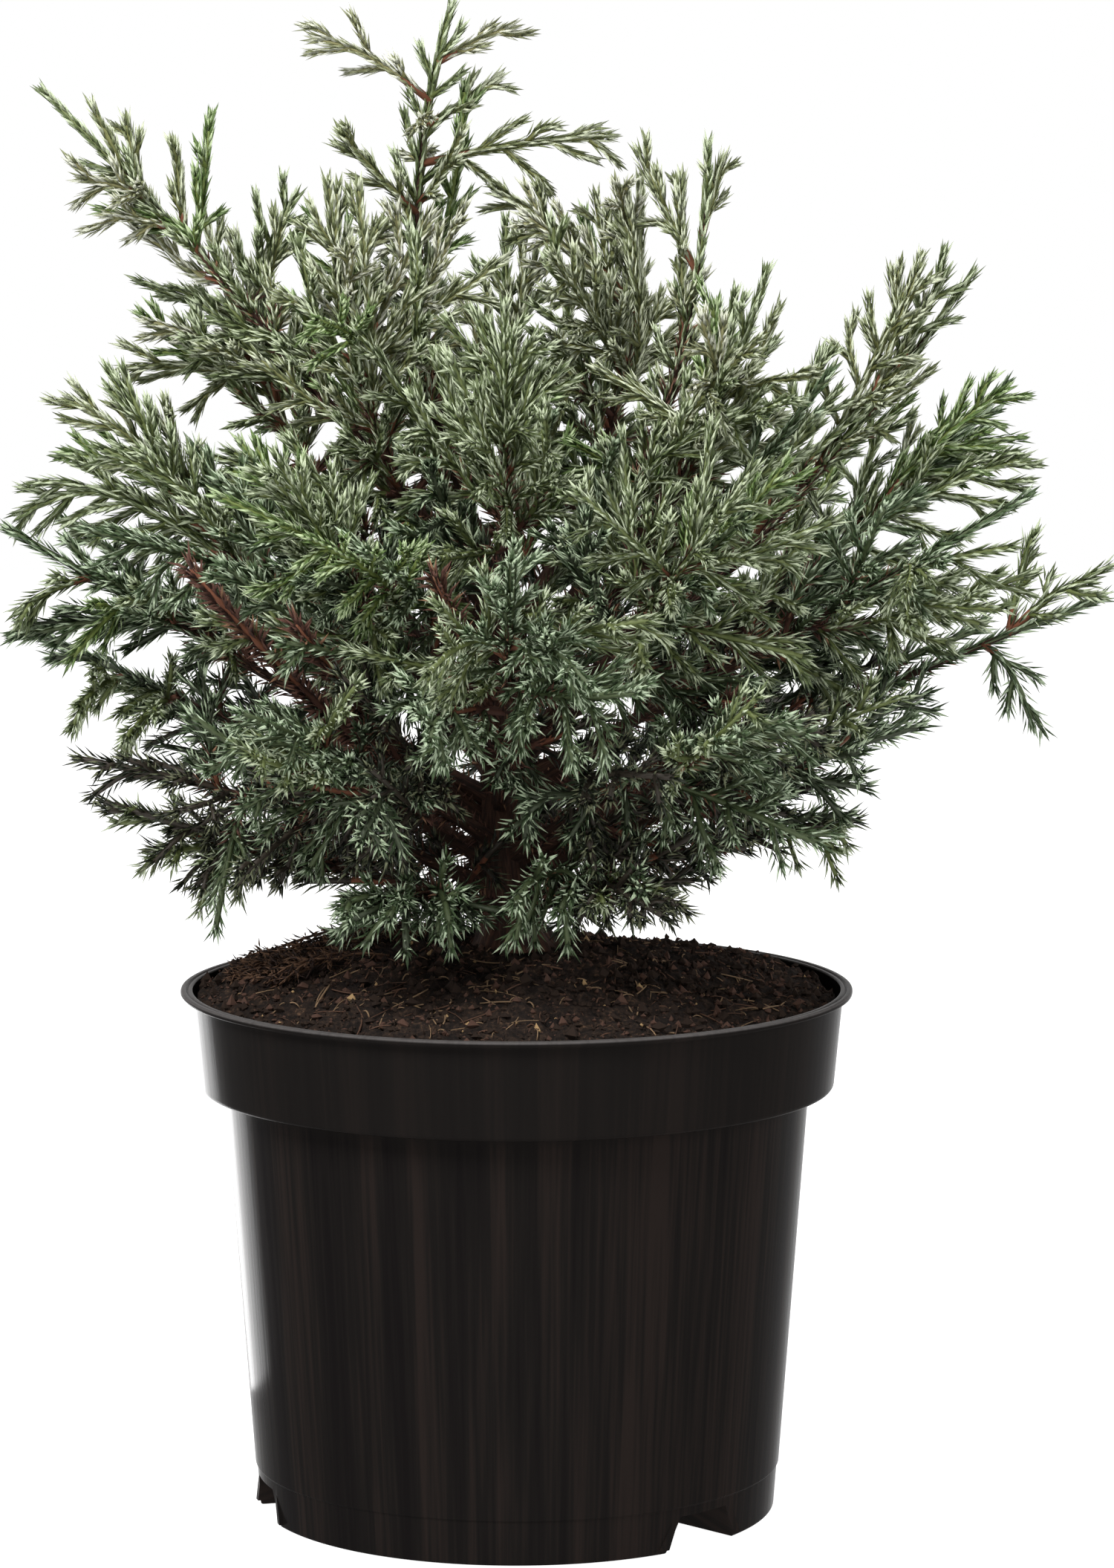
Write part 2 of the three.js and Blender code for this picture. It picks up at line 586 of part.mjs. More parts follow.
function spraySolid({ rings, outline, middles }) {
  const [foot, neck] = rings;
  const faces = [];
  for (let i = 0; i < 4; i++) {
    const j = (i + 1) % 4;
    faces.push([foot[i], foot[j], neck[j]], [foot[i], neck[j], neck[i]]);
  }
  faces.push([foot[0], foot[3], foot[2]], [foot[0], foot[2], foot[1]]);
  // the first finger and notch on each side belong to the near middle, and all between to the far one
  const nearRight = outline.slice(0, 2);
  const nearLeft = outline.slice(-2);
  const beyond = outline.slice(1, -1);
  const [left, above, right, below] = neck;
  const [[nearTop, farTop], [nearUnder, farUnder]] = middles;
  faces.push(...fan(nearTop, [right, ...nearRight, farTop, ...nearLeft, left, above, right]));
  faces.push(...fan(farTop, beyond));
  const under = [left, ...nearLeft.reverse(), farUnder, ...nearRight.reverse(), right];
  faces.push(...fan(nearUnder, [right, below, ...under]));
  faces.push(...fan(farUnder, beyond.reverse()));
  return solidOf(new THREE.BufferGeometry().setFromPoints(faces.flat()));
}

// The places that a spray and its twig are tested at: the outline, points half way in, and the twig.
function testPlaces(twig, { outline, middles }) {
  const inner = outline.map((point) => point.clone().lerp(middles[0][1], 0.5));
  const rod = [0.4, 0.6, 0.8, 1].map((u) => twig.curve.getPoint(u));
  return [...outline, ...inner, ...middles.flat(), ...rod];
}

// Every spray that has found its place, with the box round it.
const placed = [];

function boxOf(solid) {
  const { min, max } = solid.boundingBox();
  return new THREE.Box3(new THREE.Vector3(...min), new THREE.Vector3(...max));
}

function cutsAnother(spray) {
  const box = boxOf(spray);
  return placed.some((other) => other.box.intersectsBox(box) && !other.spray.intersect(spray).isEmpty());
}

// Tries a spray at full size and then smaller. Returns its solid in a list, empty where none fits.
function placeSpray(arm, twig, roll, length) {
  for (const size of SPRAY_SIZES) {
    const fingers = length * size < SPRAY_SHORT ? SPRAY_FINGERS - 1 : SPRAY_FINGERS;
    const places = sprayPlaces(twig, roll, length * size, fingers);
    if (fits(testPlaces(twig, places), arm)) {
      const spray = spraySolid(places);
      if (!cutsAnother(spray)) {
        placed.push({ spray, box: boxOf(spray) });
        return [spray];
      }
    }
  }
  return [];
}

// A direction that leans from a limb's own by an angle, turned round the limb by another.
function leaning(tangent, lean, turn) {
  const side = new THREE.Vector3().crossVectors(tangent, aslant(tangent)).normalize();
  side.applyAxisAngle(tangent, turn);
  return tangent
    .clone()
    .multiplyScalar(Math.cos(lean))
    .addScaledVector(side, Math.sin(lean));
}

// A side twig of a mass's stem: it starts wide and bends forward.
function twigOf(arm, index, count, turned) {
  const inward = 1 - index / count;
  const place = (0.4 + index) / count;
  const t = THREE.MathUtils.lerp(arm.stem.from, arm.stem.to, place);
  const root = arm.curve.getPoint(t);
  const tangent = arm.curve.getTangent(t);
  const turn = radians(GOLDEN_ANGLE * index + 360 * chance(arm.seed, 0, 1) + turned);
  const wide = leaning(tangent, radians(THREE.MathUtils.lerp(...TWIG_START_LEAN, inward)), turn);
  const forward = leaning(tangent, radians(THREE.MathUtils.lerp(...TWIG_END_LEAN, inward)), turn);
  const share = THREE.MathUtils.lerp(...TWIG_LENGTH, inward);
  const full = share * arm.spray * (0.8 + 0.4 * chance(arm.seed, index, 2));
  const middle = root.clone().addScaledVector(wide, full * 0.5);
  const end = root.clone().addScaledVector(forward, full);
  const stemRadius = THREE.MathUtils.lerp(arm.stem.footRadius, arm.stem.tipRadius, place);
  return { curve: new THREE.QuadraticBezierCurve3(root, middle, end), footRadius: TWIG_SHARE * stemRadius };
}

// A side twig and its spray, turned a little one way or the other where the first try does not fit.
function placeTwig(arm, index, count) {
  const inward = 1 - index / count;
  const share = THREE.MathUtils.lerp(...SPRAY_LENGTH, inward);
  const length = arm.spray * share * (0.9 + 0.2 * chance(arm.seed, index, 3));
  const tilt = (index % 2 ? 1 : -1) * THREE.MathUtils.lerp(...SPRAY_ROLL, chance(arm.seed, index, 4));
  for (const turned of [0, 25, -25, 45, -45, 70, -70]) {
    for (const roll of [tilt, -tilt]) {
      const spray = placeSpray(arm, twigOf(arm, index, count, turned), radians(roll), length);
      if (spray.length) {
        return spray;
      }
    }
  }
  return [];
}

// The spray that carries on where the stem ends, and reaches the arm's furthest tip. Its twig is sunk in the
// stem's end, and its neck stands out of it.
function placeTip(arm) {
  const sunk = arm.curve.getPoint(arm.stem.to - TIP_SINK / arm.length);
  const neck = arm.curve.getPoint(arm.stem.to + TIP_NECK / arm.length);
  const twig = { curve: new THREE.LineCurve3(sunk, neck), footRadius: TWIG_SHARE * STEM_TIP_RADIUS };
  const length = arm.spray * TIP_SPRAY - TIP_NECK;
  for (const roll of [0, 35, -35, 90]) {
    const spray = placeSpray(arm, twig, radians(roll + 40 * chance(arm.seed, 1, 5) - 20), length);
    if (spray.length) {
      return spray;
    }
  }
  return [];
}

// One mass: a stem that carries on from the bough, and its side twigs, each fused on with its spray.
function makeMass(arm) {
  const count = Math.round((arm.length * (arm.stem.to - arm.stem.from)) / TWIG_SPACING);
  const sprays = placeTip(arm);
  for (let index = 0; index < count; index++) {
    sprays.push(...placeTwig(arm, index, count));
  }
  const mass = manifold.Manifold.union([limbSolid(arm.stem), ...sprays]);
  return largestPiece(arm.share ? mass : clearOfEarlier(mass));
}

// Assembly

const plant = new THREE.Group();

function addMesh(name, solid, material) {
  const mesh = new THREE.Mesh(geometryOf(solid), material);
  mesh.name = name;
  plant.add(mesh);
}

addMesh("pot", makePot(), COLOURS.pot);
addMesh("soil", makeSoil(), COLOURS.soil);
addMesh("trunk", makeTrunk(0), COLOURS.bark);

// The trunk and the boughs made so far, each a little thicker, which a new limb's foot is cut clear of.
const rooms = [makeTrunk(LIMB_GAP)];

function clearOfEarlier(limb) {
  return rooms.reduce((left, room) => left.subtract(room), limb);
}

ARMS.forEach((arm, i) => {
  arm.seed = i + 1;
  if (arm.share) {
    addMesh("bough_" + arm.name, largestPiece(clearOfEarlier(limbSolid(arm.bough))), COLOURS.bark);
    rooms.push(limbSolid(arm.bough, LIMB_GAP));
  }
});
for (const arm of ARMS) {
  addMesh("foliage_" + arm.name, makeMass(arm), COLOURS.foliage);
}

export default plant;
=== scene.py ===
# %% [markdown]
# # A young sawara cypress in a nursery pot
# The plant is a dwarf conifer. Its crown is a fan of boughs, and each bough carries a mass of fine ferny
# sprays covered in short needles. The pot is black moulded plastic, filled with dark compost.
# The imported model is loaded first. Everything made here lies in its frame, in metres, with Z up.

# %% Load the frame
import math
import bpy
import numpy as np
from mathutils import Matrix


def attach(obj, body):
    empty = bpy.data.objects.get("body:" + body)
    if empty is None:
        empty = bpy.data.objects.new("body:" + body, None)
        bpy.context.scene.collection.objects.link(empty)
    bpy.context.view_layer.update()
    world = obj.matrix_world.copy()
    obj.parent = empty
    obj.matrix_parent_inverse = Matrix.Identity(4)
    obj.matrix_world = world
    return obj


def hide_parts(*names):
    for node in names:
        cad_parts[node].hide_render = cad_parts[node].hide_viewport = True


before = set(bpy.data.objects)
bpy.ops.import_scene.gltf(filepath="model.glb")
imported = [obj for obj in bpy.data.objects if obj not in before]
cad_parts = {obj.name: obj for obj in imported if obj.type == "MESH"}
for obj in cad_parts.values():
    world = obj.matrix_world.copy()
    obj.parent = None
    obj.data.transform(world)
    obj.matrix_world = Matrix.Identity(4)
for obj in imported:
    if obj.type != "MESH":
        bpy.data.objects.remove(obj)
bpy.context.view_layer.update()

# %% [markdown]
# The camera stands where the photograph was taken: near the height of the crown's top, looking slightly down
# with a long lens. A long lens keeps the pot's sides nearly straight, and it is set before any looks, because
# every size is judged through it.

# %% Camera
MM = 0.001
CAMERA_PLACE = (11.4 * MM, -1590 * MM, 408.5 * MM)
CAMERA_DIP = 7.24
SENSOR = 36
PICTURE_HEIGHT = 2111
FOCAL_PIXELS = 7656
FOCAL_LENGTH = FOCAL_PIXELS / PICTURE_HEIGHT * SENSOR


def added(name, data):
    """A new object in the scene."""
    thing = bpy.data.objects.new(name, data)
    bpy.context.collection.objects.link(thing)
    return thing


camera_data = bpy.data.cameras.new("camera")
camera_data.sensor_fit = "AUTO"
camera_data.sensor_width = SENSOR
camera_data.lens = FOCAL_LENGTH
camera = added("camera", camera_data)
camera.location = CAMERA_PLACE
camera.rotation_euler = (math.radians(90 - CAMERA_DIP), 0, 0)
bpy.context.scene.camera = camera
print("the lens is", round(FOCAL_LENGTH, 1), "mm")

# %% [markdown]
# Every piece here is either a grid of points folded shut into a tube, or a small solid that is copied many
# times, so a mesh is filled from whole arrays of points and triangles. A number for each triangle picks its
# material, and a UV map may carry a pattern along a limb.


# %% Fill a mesh from arrays
def fill_mesh(name, points, faces, materials, slots=None, uv=None):
    """A mesh object from arrays: points is n by 3 and faces is m by 3. slots gives a material to each face,
    and uv a pair to each corner of each face."""
    mesh = bpy.data.meshes.new(name)
    mesh.vertices.add(len(points))
    mesh.vertices.foreach_set("co", points.astype(np.float32).ravel())
    mesh.loops.add(faces.size)
    mesh.loops.foreach_set("vertex_index", faces.astype(np.int32).ravel())
    mesh.polygons.add(len(faces))
    mesh.polygons.foreach_set("loop_start", np.arange(0, faces.size, 3, dtype=np.int32))
    for material in materials:
        mesh.materials.append(material)
    if slots is not None:
        mesh.polygons.foreach_set("material_index", slots.astype(np.int32))
    if uv is not None:
        mesh.uv_layers.new(name="along").data.foreach_set("uv", uv.astype(np.float32).ravel())
    mesh.polygons.foreach_set("use_smooth", np.ones(len(faces), dtype=bool))
    mesh.update(calc_edges=True)
    piece = added(name, mesh)
    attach(piece, "root")
    return piece


def joined(*parts):
    """Points or faces from their separate numbers, which are first spread to one shape."""
    return np.stack(np.broadcast_arrays(*parts), axis=-1)


def tube_faces(rings, sides):
    """Triangles of one closed tube. Point c of ring r is number r * sides + c, and the last two points are
    the middles of its first and last ring, each with a fan of triangles round it."""
    ring, side = np.meshgrid(np.arange(rings - 1), np.arange(sides), indexing="ij")
    after = (side + 1) % sides
    near, far = ring * sides, (ring + 1) * sides
    one = joined(near + side, near + after, far + after).reshape(-1, 3)
    two = joined(near + side, far + after, far + side).reshape(-1, 3)
    c = np.arange(sides)
    d = (c + 1) % sides
    last = (rings - 1) * sides
    return np.vstack([one, two, joined(rings * sides, d, c), joined(rings * sides + 1, last + c, last + d)])


def copies(*kinds):
    """Points and faces of many solids. Each kind gives n copies by m points, and the faces of one copy."""
    points, faces, start = [], [], 0
    for solids, shape in kinds:
        count, size = solids.shape[:2]
        faces.append((start + shape + (np.arange(count) * size)[:, None, None]).reshape(-1, 3))
        points.append(solids.reshape(-1, 3))
        start += count * size
    return np.vstack(points), np.vstack(faces)


print("a three-sided tube of four rings has", len(tube_faces(4, 3)), "triangles")

# %% [markdown]
# Materials are node trees. Writing sums as Python expressions keeps them readable: a small class wraps one
# socket, and each operator adds a Math node. Every other node comes from a single method, which sets the
# node's settings first and then its sockets.


# %% Shader sums
class Wire:
    """An output of a node, which can be used in sums."""

    def __init__(self, finish, socket):
        self.finish = finish
        self.socket = socket

    def __add__(self, other):
        return self.finish.sum("ADD", self, other)

    def __sub__(self, other):
        return self.finish.sum("SUBTRACT", self, other)

    def __rsub__(self, other):
        return self.finish.sum("SUBTRACT", other, self)

    def __mul__(self, other):
        return self.finish.sum("MULTIPLY", self, other)

    __radd__ = __add__


class Finish:
    """A material whose shader starts plain. A value that is the same all over is set on the shader itself."""

    def __init__(self, name, colour, roughness, **constants):
        self.material = bpy.data.materials.new(name)
        self.material.use_nodes = True
        self.material.diffuse_color = (*colour, 1)
        self.tree = self.material.node_tree
        self.shader = self.tree.nodes["Principled BSDF"]
        self.shader.inputs["Base Color"].default_value = (*colour, 1)
        self.shader.inputs["Roughness"].default_value = roughness
        for socket, value in constants.items():
            self.shader.inputs[socket.replace("_", " ")].default_value = value

    def plug(self, socket, value):
        """Sets a socket to a plain value, or links a wire to it."""
        if isinstance(value, Wire):
            self.tree.links.new(value.socket, socket)
        else:
            socket.default_value = value

    def node(self, kind, settings, sockets, output=0):
        """Adds a node of a type, sets its settings, then its sockets, and returns one of its outputs."""
        node = self.tree.nodes.new(kind)
        for name, value in settings.items():
            if name == "stops":
                fill_ramp(node.color_ramp, value)
            else:
                setattr(node, name, value)
        for name, value in sockets.items():
            self.plug(node.inputs[name], value)
        return Wire(self, node.outputs[output])

    def sum(self, operation, left, right):
        return self.node("ShaderNodeMath", {"operation": operation}, {0: left, 1: right})

    def feed(self, socket, value):
        """Gives the shader a value that changes over the surface."""
        self.plug(self.shader.inputs[socket], value)

    def place(self):
        """Where a point is in the model's own frame, in metres."""
        return self.node("ShaderNodeTexCoord", {}, {}, "Object")

    def vector(self, operation, *parts):
        return self.node("ShaderNodeVectorMath", {"operation": operation}, dict(enumerate(parts)))

    def noise(self, vector, scale, detail, roughness):
        sockets = {"Vector": vector, "Scale": scale, "Detail": detail, "Roughness": roughness}
        return self.node("ShaderNodeTexNoise", {}, sockets, "Fac")

    def between(self, value, start, end, low=0.0):
        """From low to 1 as the value goes from start to end."""
        sockets = {"Value": value, "From Min": start, "From Max": end, "To Min": low}
        return self.node("ShaderNodeMapRange", {}, sockets, "Result")

    def ramp(self, value, stops):
        return self.node("ShaderNodeValToRGB", {"stops": stops}, {"Fac": value}, "Color")

    def bump(self, height, distance, strength):
        sockets = {"Height": height, "Distance": distance, "Strength": strength}
        self.feed("Normal", self.node("ShaderNodeBump", {}, sockets, "Normal"))


def fill_ramp(ramp, stops):
    """stops is a list of position and colour."""
    while len(ramp.elements) < len(stops):
        ramp.elements.new(0.5)
    for element, (position, colour) in zip(ramp.elements, stops):
        element.position = position
        element.color = (*colour, 1)


def tone(red, green, blue):
    """The linear colour of a tone that is given as screen values from 0 to 255."""
    share = np.array([red, green, blue]) / 255
    return tuple(np.where(share <= 0.04045, share / 12.92, ((share + 0.055) / 1.055) ** 2.4).tolist())


def plain(name, colour, roughness, **constants):
    """A material of one colour, given as screen values."""
    return Finish(name, tone(*colour), roughness, **constants).material


print("a mid grey is", round(tone(128, 128, 128)[0], 3), "in linear light")

# %% [markdown]
# Nature looks uneven, yet the script has to give the same plant each time. So every choice is a fixed number
# from 0 to 1 worked out from three numbers, such as the bough's, the spray's and that of the kind of choice.
# Uneven ground and bark are a sum of many waves with such numbers as their directions and starts.


# %% Fixed chances and rough ground
def chance(i, j, k):
    """The part after the point of a large multiple of a sine of the three numbers."""
    wave = np.sin(np.asarray(i) * 12.9898 + np.asarray(j) * 78.233 + k * 37.719) * 43758.5453
    return wave - np.floor(wave)


def spread(i, j, k, low, high):
    """A fixed chance between two limits."""
    return low + (high - low) * chance(i, j, k)


def rough(places, wavelength, seed, waves=14):
    """A smooth uneven height, mostly from -1 to 1: the sum of sines of (place . direction) / wavelength over
    the root of their count. Each has its own direction, wavelength and start."""
    number = np.arange(waves)
    ways = joined(*(chance(number, seed, k) - 0.5 for k in (1, 2, 3)))[:, : places.shape[-1]]
    ways /= np.linalg.norm(ways, axis=1, keepdims=True)
    ways *= (2 * math.pi / wavelength / spread(number, seed, 4, 0.6, 1.5))[:, None]
    phase = places @ ways.T + 2 * math.pi * chance(number, seed, 5)
    return np.sin(phase).sum(-1) / math.sqrt(waves)


def ridged(places, kinds):
    """A sum of such heights. Each kind gives its own height, its wavelength in mm and its seed."""
    return sum(height * rough(places, wave * MM, seed) for height, wave, seed in kinds)


def lerp(low, high, t):
    return low + (high - low) * t


def turns_of(count):
    """Evenly spaced angles that go once round."""
    return np.arange(count) * 2 * math.pi / count


def polar(radius, turn):
    """The x and y of places at a radius and an angle."""
    return radius * np.cos(turn), radius * np.sin(turn)


print("three chances:", [round(float(chance(1, 2, k)), 3) for k in range(3)])

# %% [markdown]
# The pot is turned from one half-section, like a bowl on a wheel. The real one comes out of a mould, so each
# corner of the section has a small radius, and its narrow rounded lip catches the light all round. The sizes
# are the model's own, apart from the lip, which is thinner here and has a groove in its top.

# %% Sizes of the pot
POT_HEIGHT = 149 * MM
LIP_RADIUS = 95 * MM
LIP_HEIGHT = 1.5 * MM
LIP_WALL = 0.7 * MM
COLLAR_TOP_RADIUS = 92.3 * MM
COLLAR_BOTTOM_RADIUS = 89.8 * MM
COLLAR_HEIGHT = 28 * MM
BODY_TOP_RADIUS = 82.8 * MM
BASE_RADIUS = 73.8 * MM
FOOT_BAND_HEIGHT = 12.5 * MM
FOOT_BAND_INSET = 0.5 * MM
WALL = 1.6 * MM
FLOOR = 2.4 * MM
LEDGE = POT_HEIGHT - COLLAR_HEIGHT


def body_radius(height):
    """Outside radius of the tapered body: it grows evenly from the base to the ledge under the collar."""
    return lerp(BASE_RADIUS, BODY_TOP_RADIUS, height / LEDGE)


# each corner of the section: radius, height, and how far its rounding reaches along its two edges
POT_SECTION = np.array([
    (BASE_RADIUS - FOOT_BAND_INSET, 0, 0.8 * MM),
    (body_radius(FOOT_BAND_HEIGHT) - FOOT_BAND_INSET, FOOT_BAND_HEIGHT, 0.1 * MM),
    (body_radius(FOOT_BAND_HEIGHT), FOOT_BAND_HEIGHT + FOOT_BAND_INSET, 0.1 * MM),
    (BODY_TOP_RADIUS, LEDGE, 0.6 * MM),
    (COLLAR_BOTTOM_RADIUS, LEDGE, 1.4 * MM),
    (COLLAR_TOP_RADIUS, POT_HEIGHT - LIP_HEIGHT - 0.4 * MM, 0.5 * MM),
    (LIP_RADIUS, POT_HEIGHT - LIP_HEIGHT, 0.6 * MM),
    (LIP_RADIUS, POT_HEIGHT, 0.7 * MM),
    (LIP_RADIUS - 1.5 * MM, POT_HEIGHT, 0.2 * MM),
    (LIP_RADIUS - 1.9 * MM, POT_HEIGHT - 0.5 * MM, 0.2 * MM),
    (LIP_RADIUS - 2.3 * MM, POT_HEIGHT - 0.1 * MM, 0.2 * MM),
    (COLLAR_TOP_RADIUS - LIP_WALL, POT_HEIGHT - 0.1 * MM, 0.4 * MM),
    (COLLAR_BOTTOM_RADIUS - WALL, LEDGE + WALL, 0.4 * MM),
    (BODY_TOP_RADIUS - WALL, LEDGE + WALL, 0.4 * MM),
    (BASE_RADIUS - WALL, FLOOR, 0.8 * MM),
])
print("the pot's section has", len(POT_SECTION), "corners")


# %% Round a section and turn it
def rounded(corners, steps=5):
    """Replaces each corner C by a curve (1-t)^2 A + 2t(1-t) C + t^2 B. Its ends A and B lie on C's edges."""
    spots, reach = corners[:, :2], corners[:, 2:]
    before = np.vstack([[0, spots[0, 1]], spots[:-1]])
    after = np.vstack([spots[1:], [0, spots[-1, 1]]])

    def toward(other):
        length = np.linalg.norm(other - spots, axis=1, keepdims=True)
        return (spots + (other - spots) / length * np.minimum(reach, 0.45 * length))[:, None]

    t = np.linspace(0, 1, steps)[None, :, None]
    curve = (1 - t) ** 2 * toward(before) + 2 * t * (1 - t) * spots[:, None] + t**2 * toward(after)
    return curve.reshape(-1, 2)


def turned(section, sides):
    """Points and faces of a solid turned from a section that starts and ends near the axis. Each row of the
    section gives a ring: radius times the cosine and sine of the turn, and the height."""
    rings = joined(*polar(section[:, :1], turns_of(sides)), section[:, 1:])
    ends = np.array([[0, 0, section[0, 1]], [0, 0, section[-1, 1]]])
    return np.vstack([rings.reshape(-1, 3), ends]), tube_faces(len(section), sides)


POT_SIDES = 240
NEAR_AXIS = 2 * MM
pot_section = np.vstack([[NEAR_AXIS, 0], rounded(POT_SECTION), [NEAR_AXIS, FLOOR]])
pot_points, pot_faces = turned(pot_section, POT_SIDES)
print("the turned pot has", len(pot_faces), "triangles")

# %% [markdown]
# Black plastic from a mould carries fine upright streaks from the steel that shaped it, which show as soft
# stripes in every reflection through its roughness and bumps. The same streaks also make its colour a little
# lighter and browner in stripes, and that is painted reflection. A point's direction from the axis is the
# same all the way up a wall, so noise on that direction, squeezed in height, gives streaks without a seam.
# The rim's top edge is painted light grey, a painted highlight along the lip.

# %% Black moulded plastic
plastic = Finish("moulded_black_plastic", tone(23, 20, 19), 0.18, Specular_IOR_Level=0.004)
place = plastic.place()
outward = plastic.vector("NORMALIZE", plastic.vector("MULTIPLY", place, (1, 1, 0)))
around = plastic.vector("ADD", outward, plastic.vector("MULTIPLY", place, (0, 0, 0.3)))
fine_streaks = plastic.noise(around, 46, 2.0, 0.6)
broad_streaks = plastic.noise(around, 7, 2.0, 0.5)
specks = plastic.noise(place, 900, 1.0, 0.5)
height = plastic.node("ShaderNodeSeparateXYZ", {}, {"Vector": place}, "Z")
on_body = plastic.between(height, LEDGE, LEDGE - 4 * MM, 0.35)
streaks = (fine_streaks * 0.45 + broad_streaks * 0.55 - 0.5) * on_body + 0.5
# painted reflection: the streaks make the base colour lighter and browner in upright stripes, in place of
# soft reflected light
black = plastic.ramp(streaks, [
    (0.38, tone(18, 16, 16)),
    (0.50, tone(22, 20, 19)),
    (0.62, tone(31, 26, 24)),
])
# painted highlight: the rim's top edge is painted light grey, a line of light along the lip
painted_rim_highlight = plastic.between(height, POT_HEIGHT - 0.7 * MM, POT_HEIGHT - 0.2 * MM)
mix_places = {0: painted_rim_highlight * (0.5 + fine_streaks), 6: black, 7: (*tone(78, 75, 74), 1)}
plastic.feed("Base Color", plastic.node("ShaderNodeMix", {"data_type": "RGBA"}, mix_places, 2))
plastic.feed("Roughness", 0.08 + streaks * 0.18 + specks * 0.04)
plastic.bump(fine_streaks * 0.4 + broad_streaks + specks * 0.02, 0.25 * MM, 0.3)
print("the plastic's tree has", len(plastic.tree.nodes), "nodes")

# %% [markdown]
# Three drainage channels run into the foot from the side, each with a hole in its roof. They are cut with the
# Boolean modifier, first adding a lining that is one wall thicker than the channel and then taking the
# channel out of it, so that the pot keeps an even wall round each channel.

# %% Sizes of the drainage channels
CHANNEL_AZIMUTHS = [75, 195, 315]
CHANNEL_HEIGHT = 10 * MM
CHANNEL_MOUTH = 28 * MM
CHANNEL_ROOF = 18 * MM
CHANNEL_DEPTH = 24 * MM
DRAIN_RADIUS = 4 * MM
DRAIN_SIDES = 32
UNDER_FOOT = -1 * MM
SHARP_ANGLE = 38


# %% Cut the channels
def channel_bar(azimuth, grown, outer):
    """A bar of trapezoid section along a radius of the pot, with four corners at each end."""
    foot = FLOOR / 2 if grown else UNDER_FOOT
    top = CHANNEL_HEIGHT + grown
    corners = [
        (-CHANNEL_MOUTH / 2 - grown, foot),
        (CHANNEL_MOUTH / 2 + grown, foot),
        (CHANNEL_ROOF / 2 + grown, top),
        (-CHANNEL_ROOF / 2 - grown, top),
    ]
    inner = BASE_RADIUS - CHANNEL_DEPTH - grown
    flat = np.array([(radius, across, height) for radius in (inner, outer) for across, height in corners])
    x, y = polar(1, math.radians(azimuth))
    placed = flat @ np.array([(x, y, 0), (-y, x, 0), (0, 0, 1)])
    return loose_solid(placed, tube_faces(2, 4)[:8], [[0, 3, 2, 1], [4, 5, 6, 7]])


def drain(azimuth):
    """A round bar through a channel's roof."""
    middle = polar(BASE_RADIUS - CHANNEL_DEPTH / 2, math.radians(azimuth))
    points, faces = turned(np.array([[DRAIN_RADIUS, FLOOR], [DRAIN_RADIUS, 2 * CHANNEL_HEIGHT]]), DRAIN_SIDES)
    return loose_solid(points + (*middle, 0), faces, [])


def loose_solid(points, faces, more):
    """A solid that is used once, to cut or to join."""
    mesh = bpy.data.meshes.new("tool")
    mesh.from_pydata(points.tolist(), [], faces.tolist() + more)
    return added("tool", mesh)


def apply_boolean(piece, operation, tool):
    """Joins or cuts a piece, bakes the result into its mesh, and removes the tool."""
    modifier = piece.modifiers.new("cut", "BOOLEAN")
    modifier.operation = operation
    modifier.solver = "EXACT"
    modifier.object = tool
    spent = piece.data, tool.data
    piece.data = bpy.data.meshes.new_from_object(piece.evaluated_get(bpy.context.evaluated_depsgraph_get()))
    piece.modifiers.remove(modifier)
    bpy.data.objects.remove(tool)
    for mesh in spent:
        bpy.data.meshes.remove(mesh)


pot = fill_mesh("nursery_pot", pot_points, pot_faces, [plastic.material])
for azimuth in CHANNEL_AZIMUTHS:
    apply_boolean(pot, "UNION", channel_bar(azimuth, WALL, BASE_RADIUS - WALL / 2))
    apply_boolean(pot, "DIFFERENCE", channel_bar(azimuth, 0, BODY_TOP_RADIUS))
    apply_boolean(pot, "DIFFERENCE", drain(azimuth))
pot.data.set_sharp_from_angle(angle=math.radians(SHARP_ANGLE))
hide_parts("pot")
print("the finished pot has", len(pot.data.polygons), "faces")

# %% [markdown]
# The limbs follow the model's own rule. Each arm of the plant is a curve of three points: it leaves the trunk
# at its own height, is pulled upwards a little, and ends at the furthest tip of its mass. The bough takes the
# first share of the curve, and the stem inside the mass takes the rest. The table gives each arm's name,
# azimuth and rise in degrees, its reach in mm from the heart of the plant, the height in mm where it leaves
# the trunk, its bare share, the length in mm of its longest sprays, and its own extra bow.

